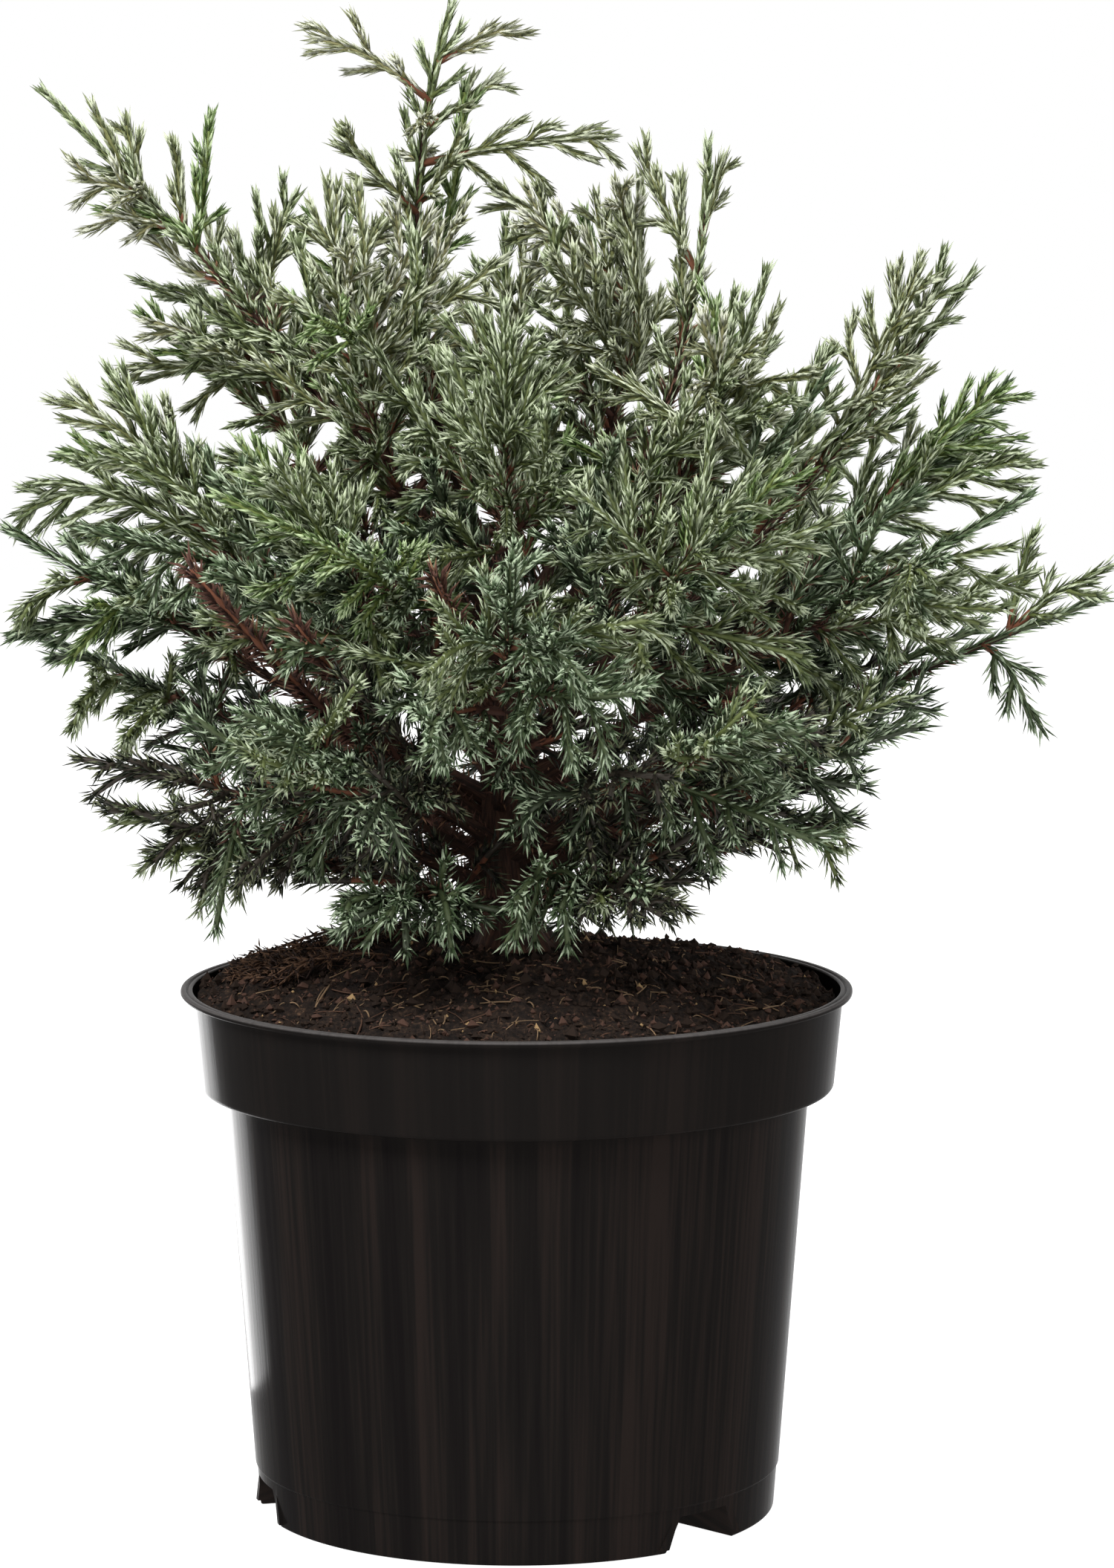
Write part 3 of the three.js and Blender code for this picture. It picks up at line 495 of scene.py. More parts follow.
# %% The arms
ARMS = [
    ("leader", 165, 86, 255, 99, 0.22, 43, 0),
    ("left_spire", 190, 60, 266, 87, 0.31, 36, 0.15),
    ("crown_left", 210, 74, 215, 78, 0.25, 52, 0),
    ("left_crown", 179, 66, 217, 62, 0.27, 50, 0),
    ("crown_right", 30, 79, 210, 90, 0.27, 55, 0),
    ("left_shoulder", 195, 53, 194, 30, 0.30, 57, 0),
    ("left", 184, 37, 181, 40, 0.27, 57, 0),
    ("left_low", 170, 28, 160, 22, 0.27, 57, 0),
    ("lower_left", 198, 20, 138, 14, 0.23, 57, 0),
    ("bottom_left", 184, 9, 108, 6, 0, 48, 0),
    ("right_spire", 350, 76, 223, 76, 0.30, 34, 0),
    ("far_right_spire", 6, 54, 222, 52, 0.30, 42, 0),
    ("right_top", 328, 66, 200, 66, 0.27, 57, 0),
    ("right_upper", 10, 46, 206, 36, 0.29, 52, 0),
    ("right_shoulder", 342, 39, 192, 44, 0.27, 57, 0),
    ("right", 358, 28, 189, 22, 0.26, 46, 0),
    ("lower_right", 338, 25, 136, 16, 0.23, 57, 0),
    ("bottom_right", 350, 15, 104, 7, 0, 48, 0),
    ("front_top", 268, 67, 190, 70, 0.23, 57, 0),
    ("front_left_high", 236, 50, 178, 50, 0.26, 57, 0),
    ("front_centre", 270, 41, 168, 38, 0.26, 57, 0),
    ("front_right_high", 304, 49, 176, 54, 0.26, 57, 0),
    ("front_right", 304, 27, 146, 24, 0.23, 57, 0),
    ("front_left", 234, 28, 143, 28, 0.23, 57, 0),
    ("front_low_left", 240, 4, 92, 9, 0, 48, 0),
    ("front_low_right", 298, 7, 98, 11, 0, 50, 0),
    ("back_top", 93, 70, 206, 81, 0.27, 57, 0),
    ("back_centre", 92, 28, 158, 34, 0, 57, 0),
    ("back_left", 130, 44, 182, 46, 0.26, 57, 0),
    ("back_right", 48, 42, 184, 48, 0.26, 57, 0),
    ("back_low_left", 128, 14, 138, 18, 0, 57, 0),
    ("back_low_right", 56, 12, 138, 12, 0, 57, 0),
]
NAMES = [arm[0] for arm in ARMS]
AZIMUTH, RISE, REACH, LEAVES, SHARE, SPRAY, LIFT = np.array([arm[1:] for arm in ARMS]).T
REACH = REACH * MM
SPRAY = SPRAY * MM
SEED = np.arange(1, len(ARMS) + 1)
print(len(ARMS), "arms,", int((SHARE > 0).sum()), "of them with a bough")

# %% Sizes of the limbs and the soil
CLEAR = 0.3 * MM
STEM_GAP = 0.4 * MM
HEART = np.array([0, 0, 172]) * MM
UP = np.array([0.0, 0.0, 1.0])
FORWARD = np.array([0.0, 1.0, 0.0])
SOIL_EDGE_HEIGHT = 145 * MM
SOIL_CROWN_HEIGHT = 160 * MM
MOUND_POWER = 1.5
TRUNK_SEAT_RADIUS = 15 * MM
TRUNK_HEIGHT = 100 * MM
TRUNK_FLARE_RADIUS = 13 * MM
TRUNK_FOOT_RADIUS = 8.6 * MM
TRUNK_TIP_RADIUS = 3.4 * MM
FLARE_HEIGHT = 9 * MM
FLARE_POWER = 1.6
TRUNK_SWAY = 4 * MM
BOUGH_GAIN = 0.011
BOUGH_TIP_RADIUS = 1.5 * MM
ARM_MIDDLE = 0.48
ARM_BOW = 0.16
ARM_BOW_LOSS = 0.0045
STEM_FOOT_RADIUS = 1.7 * MM
STEM_TIP_RADIUS = 0.75 * MM
STEM_OVERLAP = 0.02
TIP_SPRAY = 0.66


def soil_height(radius):
    """The mound falls from its level middle to its edge by a power of the distance."""
    edge = COLLAR_BOTTOM_RADIUS - WALL
    outward = np.maximum(0, radius - TRUNK_SEAT_RADIUS) / (edge - TRUNK_SEAT_RADIUS)
    return SOIL_CROWN_HEIGHT - (SOIL_CROWN_HEIGHT - SOIL_EDGE_HEIGHT) * outward**MOUND_POWER


def trunk_middle(height):
    """The trunk's middle sways by two sines of its height."""
    t = height / TRUNK_HEIGHT
    x = -TRUNK_SWAY * (np.sin(t * 5.2) * 0.7 + t * 1.1)
    return joined(x, TRUNK_SWAY * np.sin(t * 4.1) * 0.6, SOIL_CROWN_HEIGHT + CLEAR + height)


def trunk_radius(height):
    flare = (TRUNK_FLARE_RADIUS - TRUNK_FOOT_RADIUS) * np.maximum(0, 1 - height / FLARE_HEIGHT) ** FLARE_POWER
    return lerp(TRUNK_FOOT_RADIUS, TRUNK_TIP_RADIUS, height / TRUNK_HEIGHT) + flare


print("the trunk's tip is at", trunk_middle(TRUNK_HEIGHT).round(4))


# %% Curves
def unit(vectors):
    return vectors / np.linalg.norm(vectors, axis=-1, keepdims=True)


def dots(one, other):
    return (one * other).sum(-1, keepdims=True)


def fitted(curves, t):
    """The three points of each curve and its t, in shapes that go together. t is one number, or numbers whose
    first axis goes with the curves."""
    t = np.broadcast_to(t, (len(curves), *np.shape(t)[1:]))[..., None]
    return *(curves[:, k].reshape(len(curves), *[1] * (t.ndim - 2), 3) for k in range(3)), t


def on_curve(curves, t):
    """A point of each curve A B C at its own t: (1-t)^2 A + 2t(1-t) B + t^2 C."""
    a, b, c, t = fitted(curves, t)
    return (1 - t) ** 2 * a + 2 * t * (1 - t) * b + t**2 * c


def heading(curves, t):
    """The unit direction of each curve at its own t, from (1-t)(B - A) + t(C - B)."""
    a, b, c, t = fitted(curves, t)
    return unit((1 - t) * (b - a) + t * (c - b))


def lengths(curves, steps=24):
    places = on_curve(curves, np.linspace(0, 1, steps)[None])
    return np.linalg.norm(np.diff(places, axis=1), axis=-1).sum(1)


NEARLY_UPRIGHT = 0.95


def square_to(ways, like=None):
    """A unit direction square to each way: way x up, or way x forward where the way, or like, is upright."""
    upright = np.abs((ways if like is None else like)[..., 2:]) > NEARLY_UPRIGHT
    return unit(np.cross(ways, np.where(upright, FORWARD, UP)))


def turned_about(vectors, axes, angle):
    """Vectors square to their axes, turned about them: v cos(a) + (axis x v) sin(a)."""
    angle = angle[..., None]
    return vectors * np.cos(angle) + np.cross(axes, vectors) * np.sin(angle)


def sideways(ways, turn, like=None):
    """The direction square to each way, turned about the way."""
    return turned_about(square_to(ways, like), ways, turn)


def tilted(ways, out, angle):
    """Between two directions square to each other, by an angle from the first: way cos(a) + out sin(a)."""
    return ways * np.cos(angle)[..., None] + out * np.sin(angle)[..., None]


def leaning(ways, lean, turn):
    """A direction that leans from a limb's own by one angle, turned round the limb by the other."""
    return tilted(ways, sideways(ways, turn), lean)


def arm_curves():
    rise = np.radians(RISE)
    ways = joined(*polar(np.cos(rise), np.radians(AZIMUTH)), np.sin(rise))
    foot = trunk_middle(LEAVES * MM)
    tip = HEART + ways * REACH[:, None]
    size = np.linalg.norm(tip - foot, axis=1, keepdims=True)
    chord = (tip - foot) / size
    lift = unit(UP - chord * chord[:, 2:])
    bow = (ARM_BOW - ARM_BOW_LOSS * RISE + LIFT)[:, None]
    middle = foot + chord * ARM_MIDDLE * size + lift * bow * size
    return np.stack([foot, middle, tip], axis=1), ways


CURVES, WAYS = arm_curves()
ARM_LENGTH = lengths(CURVES, 200)
STEM_FROM = np.where(SHARE > 0, SHARE + STEM_GAP / ARM_LENGTH, 0)
STEM_TO = 1 - SPRAY * TIP_SPRAY / ARM_LENGTH
print("the arms are", (ARM_LENGTH.min() * 1000).round(), "to", (ARM_LENGTH.max() * 1000).round(), "mm long")

# %% [markdown]
# Bark is what the eye finds in the gaps of the crown: red-brown, flaking in strips that run along the limb.
# The strips are real relief here. Each limb is a tube of rings, and its radius rises and falls by a rough
# function that changes fast round the limb and slowly along it. The material adds finer fibres on the same
# coordinates, which the UV map carries: once round, and the distance along.

# %% Flaking bark
bark = Finish("flaking_red_brown_bark", tone(84, 52, 38), 0.85, Specular_IOR_Level=0.25)
grain = bark.node("ShaderNodeUVMap", {"uv_map": "along"}, {}, "UV")
strips = bark.noise(bark.vector("MULTIPLY", grain, (14, 90, 1)), 1.0, 5.0, 0.65)
fibres = bark.noise(bark.vector("MULTIPLY", grain, (60, 260, 1)), 1.0, 3.0, 0.6)
patches = bark.noise(bark.place(), 120, 2.0, 0.5)
worn = strips * 0.55 + fibres * 0.25 + patches * 0.2
bark.feed("Base Color", bark.ramp(worn, [
    (0.36, tone(22, 15, 12)),
    (0.47, tone(42, 27, 21)),
    (0.56, tone(66, 43, 32)),
    (0.68, tone(98, 74, 59)),
]))
bark.feed("Roughness", 0.98 - worn * 0.3)
bark.bump(strips + fibres * 0.5, 0.5 * MM, 0.9)
print("the bark's tree has", len(bark.tree.nodes), "nodes")


# %% Tubes along curves
def tubes(curves, rows, radii, sides, relief=None):
    """Points of a tube along each curve. rows gives each ring's t, and radii its radius. A ring lies square
    to the curve: centre + r (cos a * across + sin a * (direction x across))."""
    rows = np.atleast_2d(rows)
    centres, ways = on_curve(curves, rows), heading(curves, rows)
    across = square_to(ways, ways[:, :1])
    other = np.cross(ways, across)
    ring = tilted(across[:, :, None], other[:, :, None], turns_of(sides))
    size = radii[:, :, None, None] * (1 if relief is None else relief[..., None])
    walls = centres[:, :, None] + ring * size
    ends = np.stack([centres[:, 0], centres[:, -1]], axis=1)
    return np.concatenate([walls.reshape(len(curves), -1, 3), ends], axis=1)


def ring_numbers(rings, sides):
    """The ring of each point of a tube. The two middles count with the first ring and the last."""
    return np.append(np.repeat(np.arange(rings), sides), [0, rings - 1])


def grain_map(faces, rings, sides, distance):
    """UV for a tube's faces: the share of a turn, and the distance along. A face that crosses the seam takes
    a turn of one instead of nought."""
    u = (np.append(np.arange(rings * sides) % sides, [0, 0]) / sides)[faces]
    u = np.where((u == 0) & (u.max(1, keepdims=True) > 0.5), 1.0, u)
    return joined(u, distance[ring_numbers(rings, sides)[faces]])


LIMB_RINGS = 56
LIMB_SIDES = 10
LIMB_RIDGES = ((0.10, 6, 3), (0.05, 2.5, 4))
share, start, end = SHARE[:, None], STEM_FROM[:, None], STEM_TO[:, None]
limb_rows = np.linspace(0, 1, LIMB_RINGS) * (end + STEM_OVERLAP)
bare = np.minimum(limb_rows / np.maximum(share, 0.01), 1)
beyond = np.clip((limb_rows - start) / (end - start), 0, 1)
bough_radii = lerp(BOUGH_TIP_RADIUS + BOUGH_GAIN * ARM_LENGTH[:, None], BOUGH_TIP_RADIUS, bare)
stem_radii = lerp(np.where(share > 0, BOUGH_TIP_RADIUS, STEM_FOOT_RADIUS), STEM_TIP_RADIUS, beyond)
limb_radii = np.where(limb_rows < share, bough_radii, stem_radii)
along = limb_rows * ARM_LENGTH[:, None]
lengthwise = along[:, :, None] * 0.6 + SEED[:, None, None] * 0.37
bark_places = joined(*polar(5 * MM, turns_of(LIMB_SIDES)), lengthwise)
limb_relief = 1 + ridged(bark_places, LIMB_RIDGES)
one_limb = tube_faces(LIMB_RINGS, LIMB_SIDES)
limb_solids = copies((tubes(CURVES, limb_rows, limb_radii, LIMB_SIDES, limb_relief), one_limb))
limb_uv = np.concatenate([grain_map(one_limb, LIMB_RINGS, LIMB_SIDES, distance) for distance in along])
limbs = fill_mesh("boughs_and_stems", *limb_solids, [bark.material], uv=limb_uv)
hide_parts(*["bough_" + name for name, share in zip(NAMES, SHARE) if share > 0])
print("the limbs have", len(limbs.data.polygons), "triangles")

# %% [markdown]
# The trunk is short and mostly hidden, but its foot shows where it spreads into the compost. It gets the same
# bark, with stronger ridges that run down into the flare.

# %% The trunk
TRUNK_RINGS = 120
TRUNK_SIDES = 72
TRUNK_RIDGES = ((0.05, 9, 7), (0.05, 3, 8), (0.02, 1.4, 9))
trunk_heights = TRUNK_HEIGHT * np.linspace(0, 1, TRUNK_RINGS) ** 1.5
trunk_turn = turns_of(TRUNK_SIDES)
middle = trunk_middle(trunk_heights)[:, None]
ways = joined(*polar(1, trunk_turn), 0)
twisted = joined(*polar(9 * MM, trunk_turn + 0.7), trunk_heights[:, None] * 0.35)
trunk_relief = 1 + ridged(twisted, TRUNK_RIDGES)
shell = middle + ways * (trunk_radius(trunk_heights)[:, None] * trunk_relief)[..., None]
trunk_points = np.vstack([shell.reshape(-1, 3), middle[0], middle[-1]])
trunk_faces = tube_faces(TRUNK_RINGS, TRUNK_SIDES)
trunk_uv = grain_map(trunk_faces, TRUNK_RINGS, TRUNK_SIDES, trunk_heights)
trunk = fill_mesh("trunk_with_bark", trunk_points, trunk_faces, [bark.material], uv=trunk_uv * (3, 1))
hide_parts("trunk")
print("the trunk has", len(trunk_faces), "triangles")

# %% [markdown]
# Each mass keeps to its own space, as in the model: its points are nearer to its own middle line than to
# another's, or nearly so, they reach less far to the side of the arm than along it, and they stay above the
# compost. Here they also keep out of the hollows of the crown's outline. A spray that would leave this space
# is tried turned a little round its stem, and then shorter, and else is left out.

# %% The space of each mass
TAPER = 2.8
# how far foliage may stand from its arm's middle line, in mm: on most arms, and on the narrower ones
WIDEST = 60
HALF_WIDTHS = {"leader": 25, "left_spire": 16, "right_spire": 14, "far_right_spire": 12, "right": 19,
               "right_upper": 34, "right_shoulder": 38, "lower_right": 30, "bottom_right": 26, "left": 30,
               "left_low": 28, "bottom_left": 28, "left_crown": 34, "right_top": 36}
HALF_WIDTH = np.array([HALF_WIDTHS.get(name, WIDEST) for name in NAMES]) * MM
SHARED_EDGE = 9 * MM
OVER_GROUND = 3 * MM
HOLLOW_EDGE = 2 * MM
# the crown's underside: its height in mm at some places to the left and right of the trunk
UNDERSIDE_X = np.array([-165, -140, -115, -89, -50, 50, 95, 127, 165]) * MM
UNDERSIDE_Z = np.array([256, 240, 199, 174, 170, 176, 202, 250, 253]) * MM
# hollows of the crown's outline as seen from the front: x, z and radius in mm, in the plane of the trunk
HOLLOWS = np.array([
    (56, 362, 11), (52, 374, 7), (74, 356, 11), (128, 283, 10), (-132, 265, 8), (-118, 233, 5), (124, 337, 9),
    (121, 233, 6), (-126, 389, 8), (-126, 317, 8), (153, 250, 8), (22, 401, 5), (95, 174, 7), (-58, 171, 6),
    (-74, 169, 8), (-108, 401, 6), (-139, 289, 5), (-143, 300, 7), (-148, 266, 6), (148, 305, 6),
    (43, 359, 7), (105, 210, 5), (104, 272, 4), (-102, 288, 3), (-79, 314, 3),
]) * MM
EYE = np.array([11, -1590, 408]) * MM
SPINE_STEPS = np.array([0, 0.2, 0.4, 0.6, 0.8, 1])
SPINES = on_curve(CURVES, lerp(SHARE[:, None], 1, SPINE_STEPS[None]))
STARTS, STEPS = SPINES[:, :-1], np.diff(SPINES, axis=1)


def line_distance(places, start, step):
    """The least distance from each place to the segments of a line, each taken at the place's nearest share
    of the segment, kept from 0 to 1."""
    from_start = places[..., None, :] - start
    t = np.clip(dots(from_start, step) / dots(step, step), 0, 1)
    return np.linalg.norm(from_start - t * step, axis=-1).min(-1)


def inside_space(places, arm):
    """Whether all the places of each row lie in the space of that row's arm. places is n by m by 3."""
    distance = line_distance(places[..., None, :], STARTS, STEPS)
    own = np.take_along_axis(distance, arm[:, None, None], axis=2)[..., 0]
    np.put_along_axis(distance, arm[:, None, None], np.inf, axis=2)
    return (distance.min(2) > own - SHARED_EDGE).all(1) & inside_reach(places, arm)


def outside_hollows(places):
    """Whether the places, seen from the eye, lie outside all the hollows of the outline. A place moves to the
    trunk's plane along its line to the eye."""
    share = EYE[1] / (EYE[1] - places[..., 1:2])
    seen = (EYE + (places - EYE) * share)[..., [0, 2]]
    away = np.linalg.norm(seen[..., None, :] - HOLLOWS[:, :2], axis=-1)
    return (away > HOLLOWS[:, 2] + HOLLOW_EDGE).all(-1)


def inside_reach(places, arm, room=-4 * MM):
    """Whether the places are nearer to the heart than reach * cos(offside)^taper, near enough to their arm's
    line, above the ground and the crown's underside, which rises to both sides, and outside the hollows."""
    ray = places - HEART
    size = np.linalg.norm(ray, axis=-1)
    cosine = np.clip((ray * WAYS[arm][:, None]).sum(-1) / size, 0.02, 1)
    near = size < REACH[arm][:, None] * cosine**TAPER + room
    off_line = line_distance(places, STARTS[arm][:, None], STEPS[arm][:, None])
    slender = off_line < HALF_WIDTH[arm][:, None] + room
    radius = np.linalg.norm(places[..., :2], axis=-1)
    ground = np.where(radius < LIP_RADIUS, np.maximum(POT_HEIGHT, soil_height(radius)), POT_HEIGHT)
    underside = np.interp(places[..., 0], UNDERSIDE_X, UNDERSIDE_Z)
    above = places[..., 2] > np.maximum(ground + OVER_GROUND, underside)
    return (near & slender & above & outside_hollows(places)).all(1)


print("the masses' middle lines have", STEPS.shape[0] * STEPS.shape[1], "segments")

# %% [markdown]
# A spray is a twig that leaves its stem at a wide angle and bends forward, with side shoots down both sides.
# The stem bears them at a golden angle, long near the root and short near the tip, by the model's rule. Here
# they stand at closer steps than in the model, whose blades each stand for several.

# %% Main sprays
GOLDEN_ANGLE = 137.5
SPRAY_SPACING = np.interp(RISE, [20, 45, 65, 75], [9.0, 5.6, 4.2, 3.8]) * MM
for step, names in ((11, ["leader", "left_spire"]), (7.5, ["right_spire", "far_right_spire"]),
                    (9, ["left_shoulder", "lower_right", "bottom_right", "right"])):
    SPRAY_SPACING[np.isin(NAMES, names)] = step * MM
# the least and the most: lengths as shares of the arm's longest sprays, and leans and roll in degrees
TWIG_LENGTH = (0.18, 0.52)
TWIG_START_LEAN = (44, 76)
TWIG_END_LEAN = (30, 54)
SPRAY_LENGTH = (0.62, 1)
SPRAY_ROLL = (38, 68)
# how far the lean of a spray's end may stray, in degrees, and its droop and sway, as shares of its length
STRAY = (-30, 34)
DROOP = (-0.1, 0.65)
SWAY = (-0.55, 0.55)
# a spray is tried at these sizes, and turned by these degrees at each size
SIZES = (1, 0.86, 0.74, 0.62, 0.52, 0.44, 0.37)
TURNS = (0, 25, -25, 45, -45)
TESTED_AT = np.array([[0.4, 0.65, 0.85, 1.0]])
SIDE_REACH = 0.22


def rows_of(counts):
    """For so many rows of each owner: the owner of each row, and its place among the owner's rows."""
    owner = np.repeat(np.arange(len(counts)), counts)
    return owner, np.arange(counts.sum()) - (np.cumsum(counts) - counts)[owner]


def main_sprays(arm, index, inward, place, turned, size):
    """The curve of each main spray, turned round its stem by so many degrees and at a share of its size."""
    seed = SEED[arm]
    t = lerp(STEM_FROM[arm], STEM_TO[arm], place)
    root, way = on_curve(CURVES[arm], t), heading(CURVES[arm], t)
    turn = np.radians(GOLDEN_ANGLE * index + 360 * chance(seed, 0, 1) + turned)
    wide = leaning(way, np.radians(lerp(*TWIG_START_LEAN, inward)), turn)
    forward = leaning(way, np.radians(lerp(*TWIG_END_LEAN, inward) + spread(seed, index, 5, *STRAY)), turn)
    full = (lerp(*TWIG_LENGTH, inward) * SPRAY[arm] * spread(seed, index, 2, 0.8, 1.2) * size)[:, None]
    length = (SPRAY[arm] * lerp(*SPRAY_LENGTH, inward) * spread(seed, index, 3, 0.9, 1.1) * size)[:, None]
    neck = root + forward * full
    onward = unit(forward - wide * 0.5)
    droop = UP * length * spread(seed, index, 6, *DROOP)[:, None]
    sway = unit(np.cross(onward, wide)) * length * spread(seed, index, 7, *SWAY)[:, None]
    tip = neck + onward * length + sway - droop
    return np.stack([root, root + wide * full * 0.9, tip], axis=1)


def side_places(curves, across):
    """Where a spray is tested: along its middle, and out to both sides of it."""
    middle = on_curve(curves, TESTED_AT)
    side = across[:, None] * lengths(curves)[:, None, None] * SIDE_REACH
    return np.concatenate([middle, middle[:, :2] + side, middle[:, :2] - side], axis=1)


counts = np.round(ARM_LENGTH * (STEM_TO - STEM_FROM) / SPRAY_SPACING).astype(int)
arm, index = rows_of(counts)
inward = 1 - index / counts[arm]
place = (0.4 + index) / counts[arm]
found = np.zeros(len(arm), dtype=bool)
spray_curves = np.zeros((len(arm), 3, 3))
spray_across = np.zeros((len(arm), 3))
for size in SIZES:
    for turned_by in TURNS:
        todo = np.flatnonzero(~found)
        a, k = arm[todo], index[todo]
        curves = main_sprays(a, k, inward[todo], place[todo], turned_by, size)
        roll = np.radians(np.where(k % 2, 1, -1) * spread(SEED[a], k, 4, *SPRAY_ROLL))
        across = sideways(heading(curves, 1), roll)
        good = inside_space(side_places(curves, across), a)
        spray_curves[todo[good]] = curves[good]
        spray_across[todo[good]] = across[good]
        found[todo[good]] = True
print(int(found.sum()), "of", len(found), "main sprays found room")


# %% Sprays at the stems' ends
def later_part(curves, t):
    """The rest of each curve from its own t on, as a curve of three points."""
    t = t[:, None]
    return np.stack([on_curve(curves, t[:, 0]), lerp(curves[:, 1], curves[:, 2], t), curves[:, 2]], axis=1)


# the slender arms are green along most of their stem, and the others along its outer part
GREEN_FROM = np.where(np.isin(NAMES, ["leader", "left_spire", "right_spire", "far_right_spire"]), 0.12, 0.4)
# the last needles of a spray reach so far past the end of its twig
PAST_THE_TWIG = 4.5 * MM


def without_needles(curves):
    """The same curves, each with its end drawn back by the reach of its last needles."""
    curves[:, 2] -= unit(curves[:, 2] - curves[:, 1]) * PAST_THE_TWIG
    return curves


tip_curves = without_needles(later_part(CURVES, lerp(STEM_FROM, STEM_TO, GREEN_FROM)))
tip_across = sideways(heading(tip_curves, 1), np.radians(40 * chance(SEED, 1, 5) - 20))
all_arms = np.arange(len(ARMS))


# Some sprays stand out in the photograph. After the arm's name, each row gives a spray's place on the arm's
# curve, the x, y and z of its tip in mm, and how much it arches up, or hangs, as a share of its length.
MARKED_SPRAYS = [
    ("leader", (0.74, 29, 4, 388, 0.05), (0.84, -58, -4, 415, 0.16), (0.90, 1, 8, 419, 0.05),
     (0.66, -50, -10, 391, -0.05), (0.80, -3, 12, 406, -0.04)),
    ("left_spire", (0.70, -84, -16, 394, -0.12), (0.80, -108, -8, 395, -0.06), (0.80, -121, -30, 377, 0.06),
     (0.74, -114, -30, 367, 0.05)),
    ("left_crown", (0.80, -60, 0, 373, 0.12)),
    ("right", (0.80, 145, -14, 222, 0.34)),
    ("right_spire", (0.78, 33, 6, 386, -0.05), (0.84, 58, -6, 384, 0.04)),
    ("crown_right", (0.74, -8, 0, 373, 0.14)),
    ("far_right_spire", (0.74, 114, 6, 354, 0.03), (0.80, 122, 10, 352, 0.08)),
    ("left_shoulder", (0.78, -125, -32, 318, 0.10)),
    ("left", (0.82, -140, -24, 256, 0.12)),
    ("left_spire", (0.72, -94, -14, 388, 0.04)),
    ("left_shoulder", (0.72, -128, -6, 301, 0.12), (0.66, -141, -8, 282, 0.34),
     (0.60, -118, -20, 292, 0.1)),
    ("left_crown", (0.70, -112, -4, 323, 0.12), (0.74, -92, -10, 330, 0.1)),
    ("crown_right", (0.80, 27, 0, 377, 0.06)),
    ("front_low_left", (0.6, -35, -76, 177, 0.2), (0.5, -17, -78, 176, 0.25), (0.7, -50, -72, 180, 0.2)),
    ("front_low_right", (0.5, 11, -76, 179, 0.2), (0.6, 21, -74, 180, 0.2), (0.7, 37, -74, 184, 0.2),
     (0.42, -2, -80, 182, 0.25)),
    ("left_low", (0.8, -123, -16, 229, 0.1), (0.7, -109, -22, 220, 0.14)),
    ("bottom_left", (0.8, -111, -20, 201, 0.15), (0.75, -104, -22, 186, 0.2), (0.7, -89, -24, 178, 0.25)),
    ("bottom_right", (0.8, 94, -20, 196, 0.12), (0.74, 92, -24, 189, 0.16)),
    ("far_right_spire", (0.5, 88, 4, 330, 0.1), (0.62, 113, 8, 353, -0.06)),
    ("left_crown", (0.66, -72, -4, 362, 0.06), (0.56, -55, -12, 352, 0.08)),
    ("crown_left", (0.74, -38, -6, 366, 0.05), (0.66, -22, -10, 368, 0.08), (0.5, -34, -36, 318, 0.1),
     (0.42, -48, -38, 308, 0.1)),
    ("crown_right", (0.62, 10, -22, 354, 0.08), (0.72, 0, -6, 368, 0.05)),
    ("right_top", (0.7, 56, -12, 344, 0.1)),
    ("right", (0.84, 164, -6, 264, 0.24), (0.84, 144, -2, 278, 0.02)),
    ("right_upper", (0.6, 145, 2, 299, 0.12), (0.7, 139, 0, 319, 0.1)),
    ("right_spire", (0.66, 46, 0, 379, 0.0)),
    ("lower_right", (0.76, 117, -12, 234, 0.1)),
]
# Worn brown stems that show at the front, in the same way.
WORN_STEMS = [
    ("front_left", (0.12, -89, -74, 277, -0.08), (0.3, -60, -84, 262, 0.02)),
    ("front_centre", (0.3, -22, -94, 276, 0.02)),
    ("right_shoulder", (0.3, 62, -66, 236, 0.05)),
]


def drawn(table):
    """The arm, the curve and the direction across the flat side of each spray in such a table."""
    own = np.array([NAMES.index(name) for name, *rows in table for row in rows])
    share, end, arch = np.split(np.array([row for name, *rows in table for row in rows]), [1, 4], axis=1)
    foot = on_curve(CURVES[own], share[:, 0])
    rise = UP * np.linalg.norm(end * MM - foot, axis=1, keepdims=True) * arch
    curves = without_needles(np.stack([foot, (foot + end * MM) / 2 + rise, end * MM], axis=1))
    return own, curves, sideways(heading(curves, 1), np.radians(spread(own, share[:, 0], 8, 40, 95)))


marked_arm, marked_curves, marked_across = drawn(MARKED_SPRAYS)
worn_arm, worn_curves, worn_across = drawn(WORN_STEMS)
print(len(marked_arm), "marked sprays and", len(worn_arm), "worn stems")


class Shoots:
    """Many shoots at once: the curve of each, the direction across its flat side, its arm, and its own spray.
    A spray's number is kept by all that grows on it, because the foliage's tint is dealt out by spray."""

    def __init__(self, curves, across, arm, spray):
        self.curves, self.across, self.arm, self.spray = curves, across, arm, spray
        self.length = lengths(curves)

    def only(self, keep):
        return Shoots(self.curves[keep], self.across[keep], self.arm[keep], self.spray[keep])


main = Shoots(
    np.vstack([spray_curves[found], tip_curves, marked_curves]),
    np.vstack([spray_across[found], tip_across, marked_across]),
    np.concatenate([arm[found], all_arms, marked_arm]),
    np.arange(int(found.sum()) + len(ARMS) + len(marked_arm)),
)
FIRST_MARKED = len(main.arm) - len(marked_arm)
print(len(main.arm), "main sprays,", round(float(main.length.mean()) * 1000), "mm long on average")

# %% [markdown]
# Side shoots grow in the flat of their parent, left and right in turn, and lean out of it a little. They are
# longest where the parent is widest and shorten to its tip, and each bends back towards the parent's way. The
# same rule makes the smallest shoots on the side shoots.


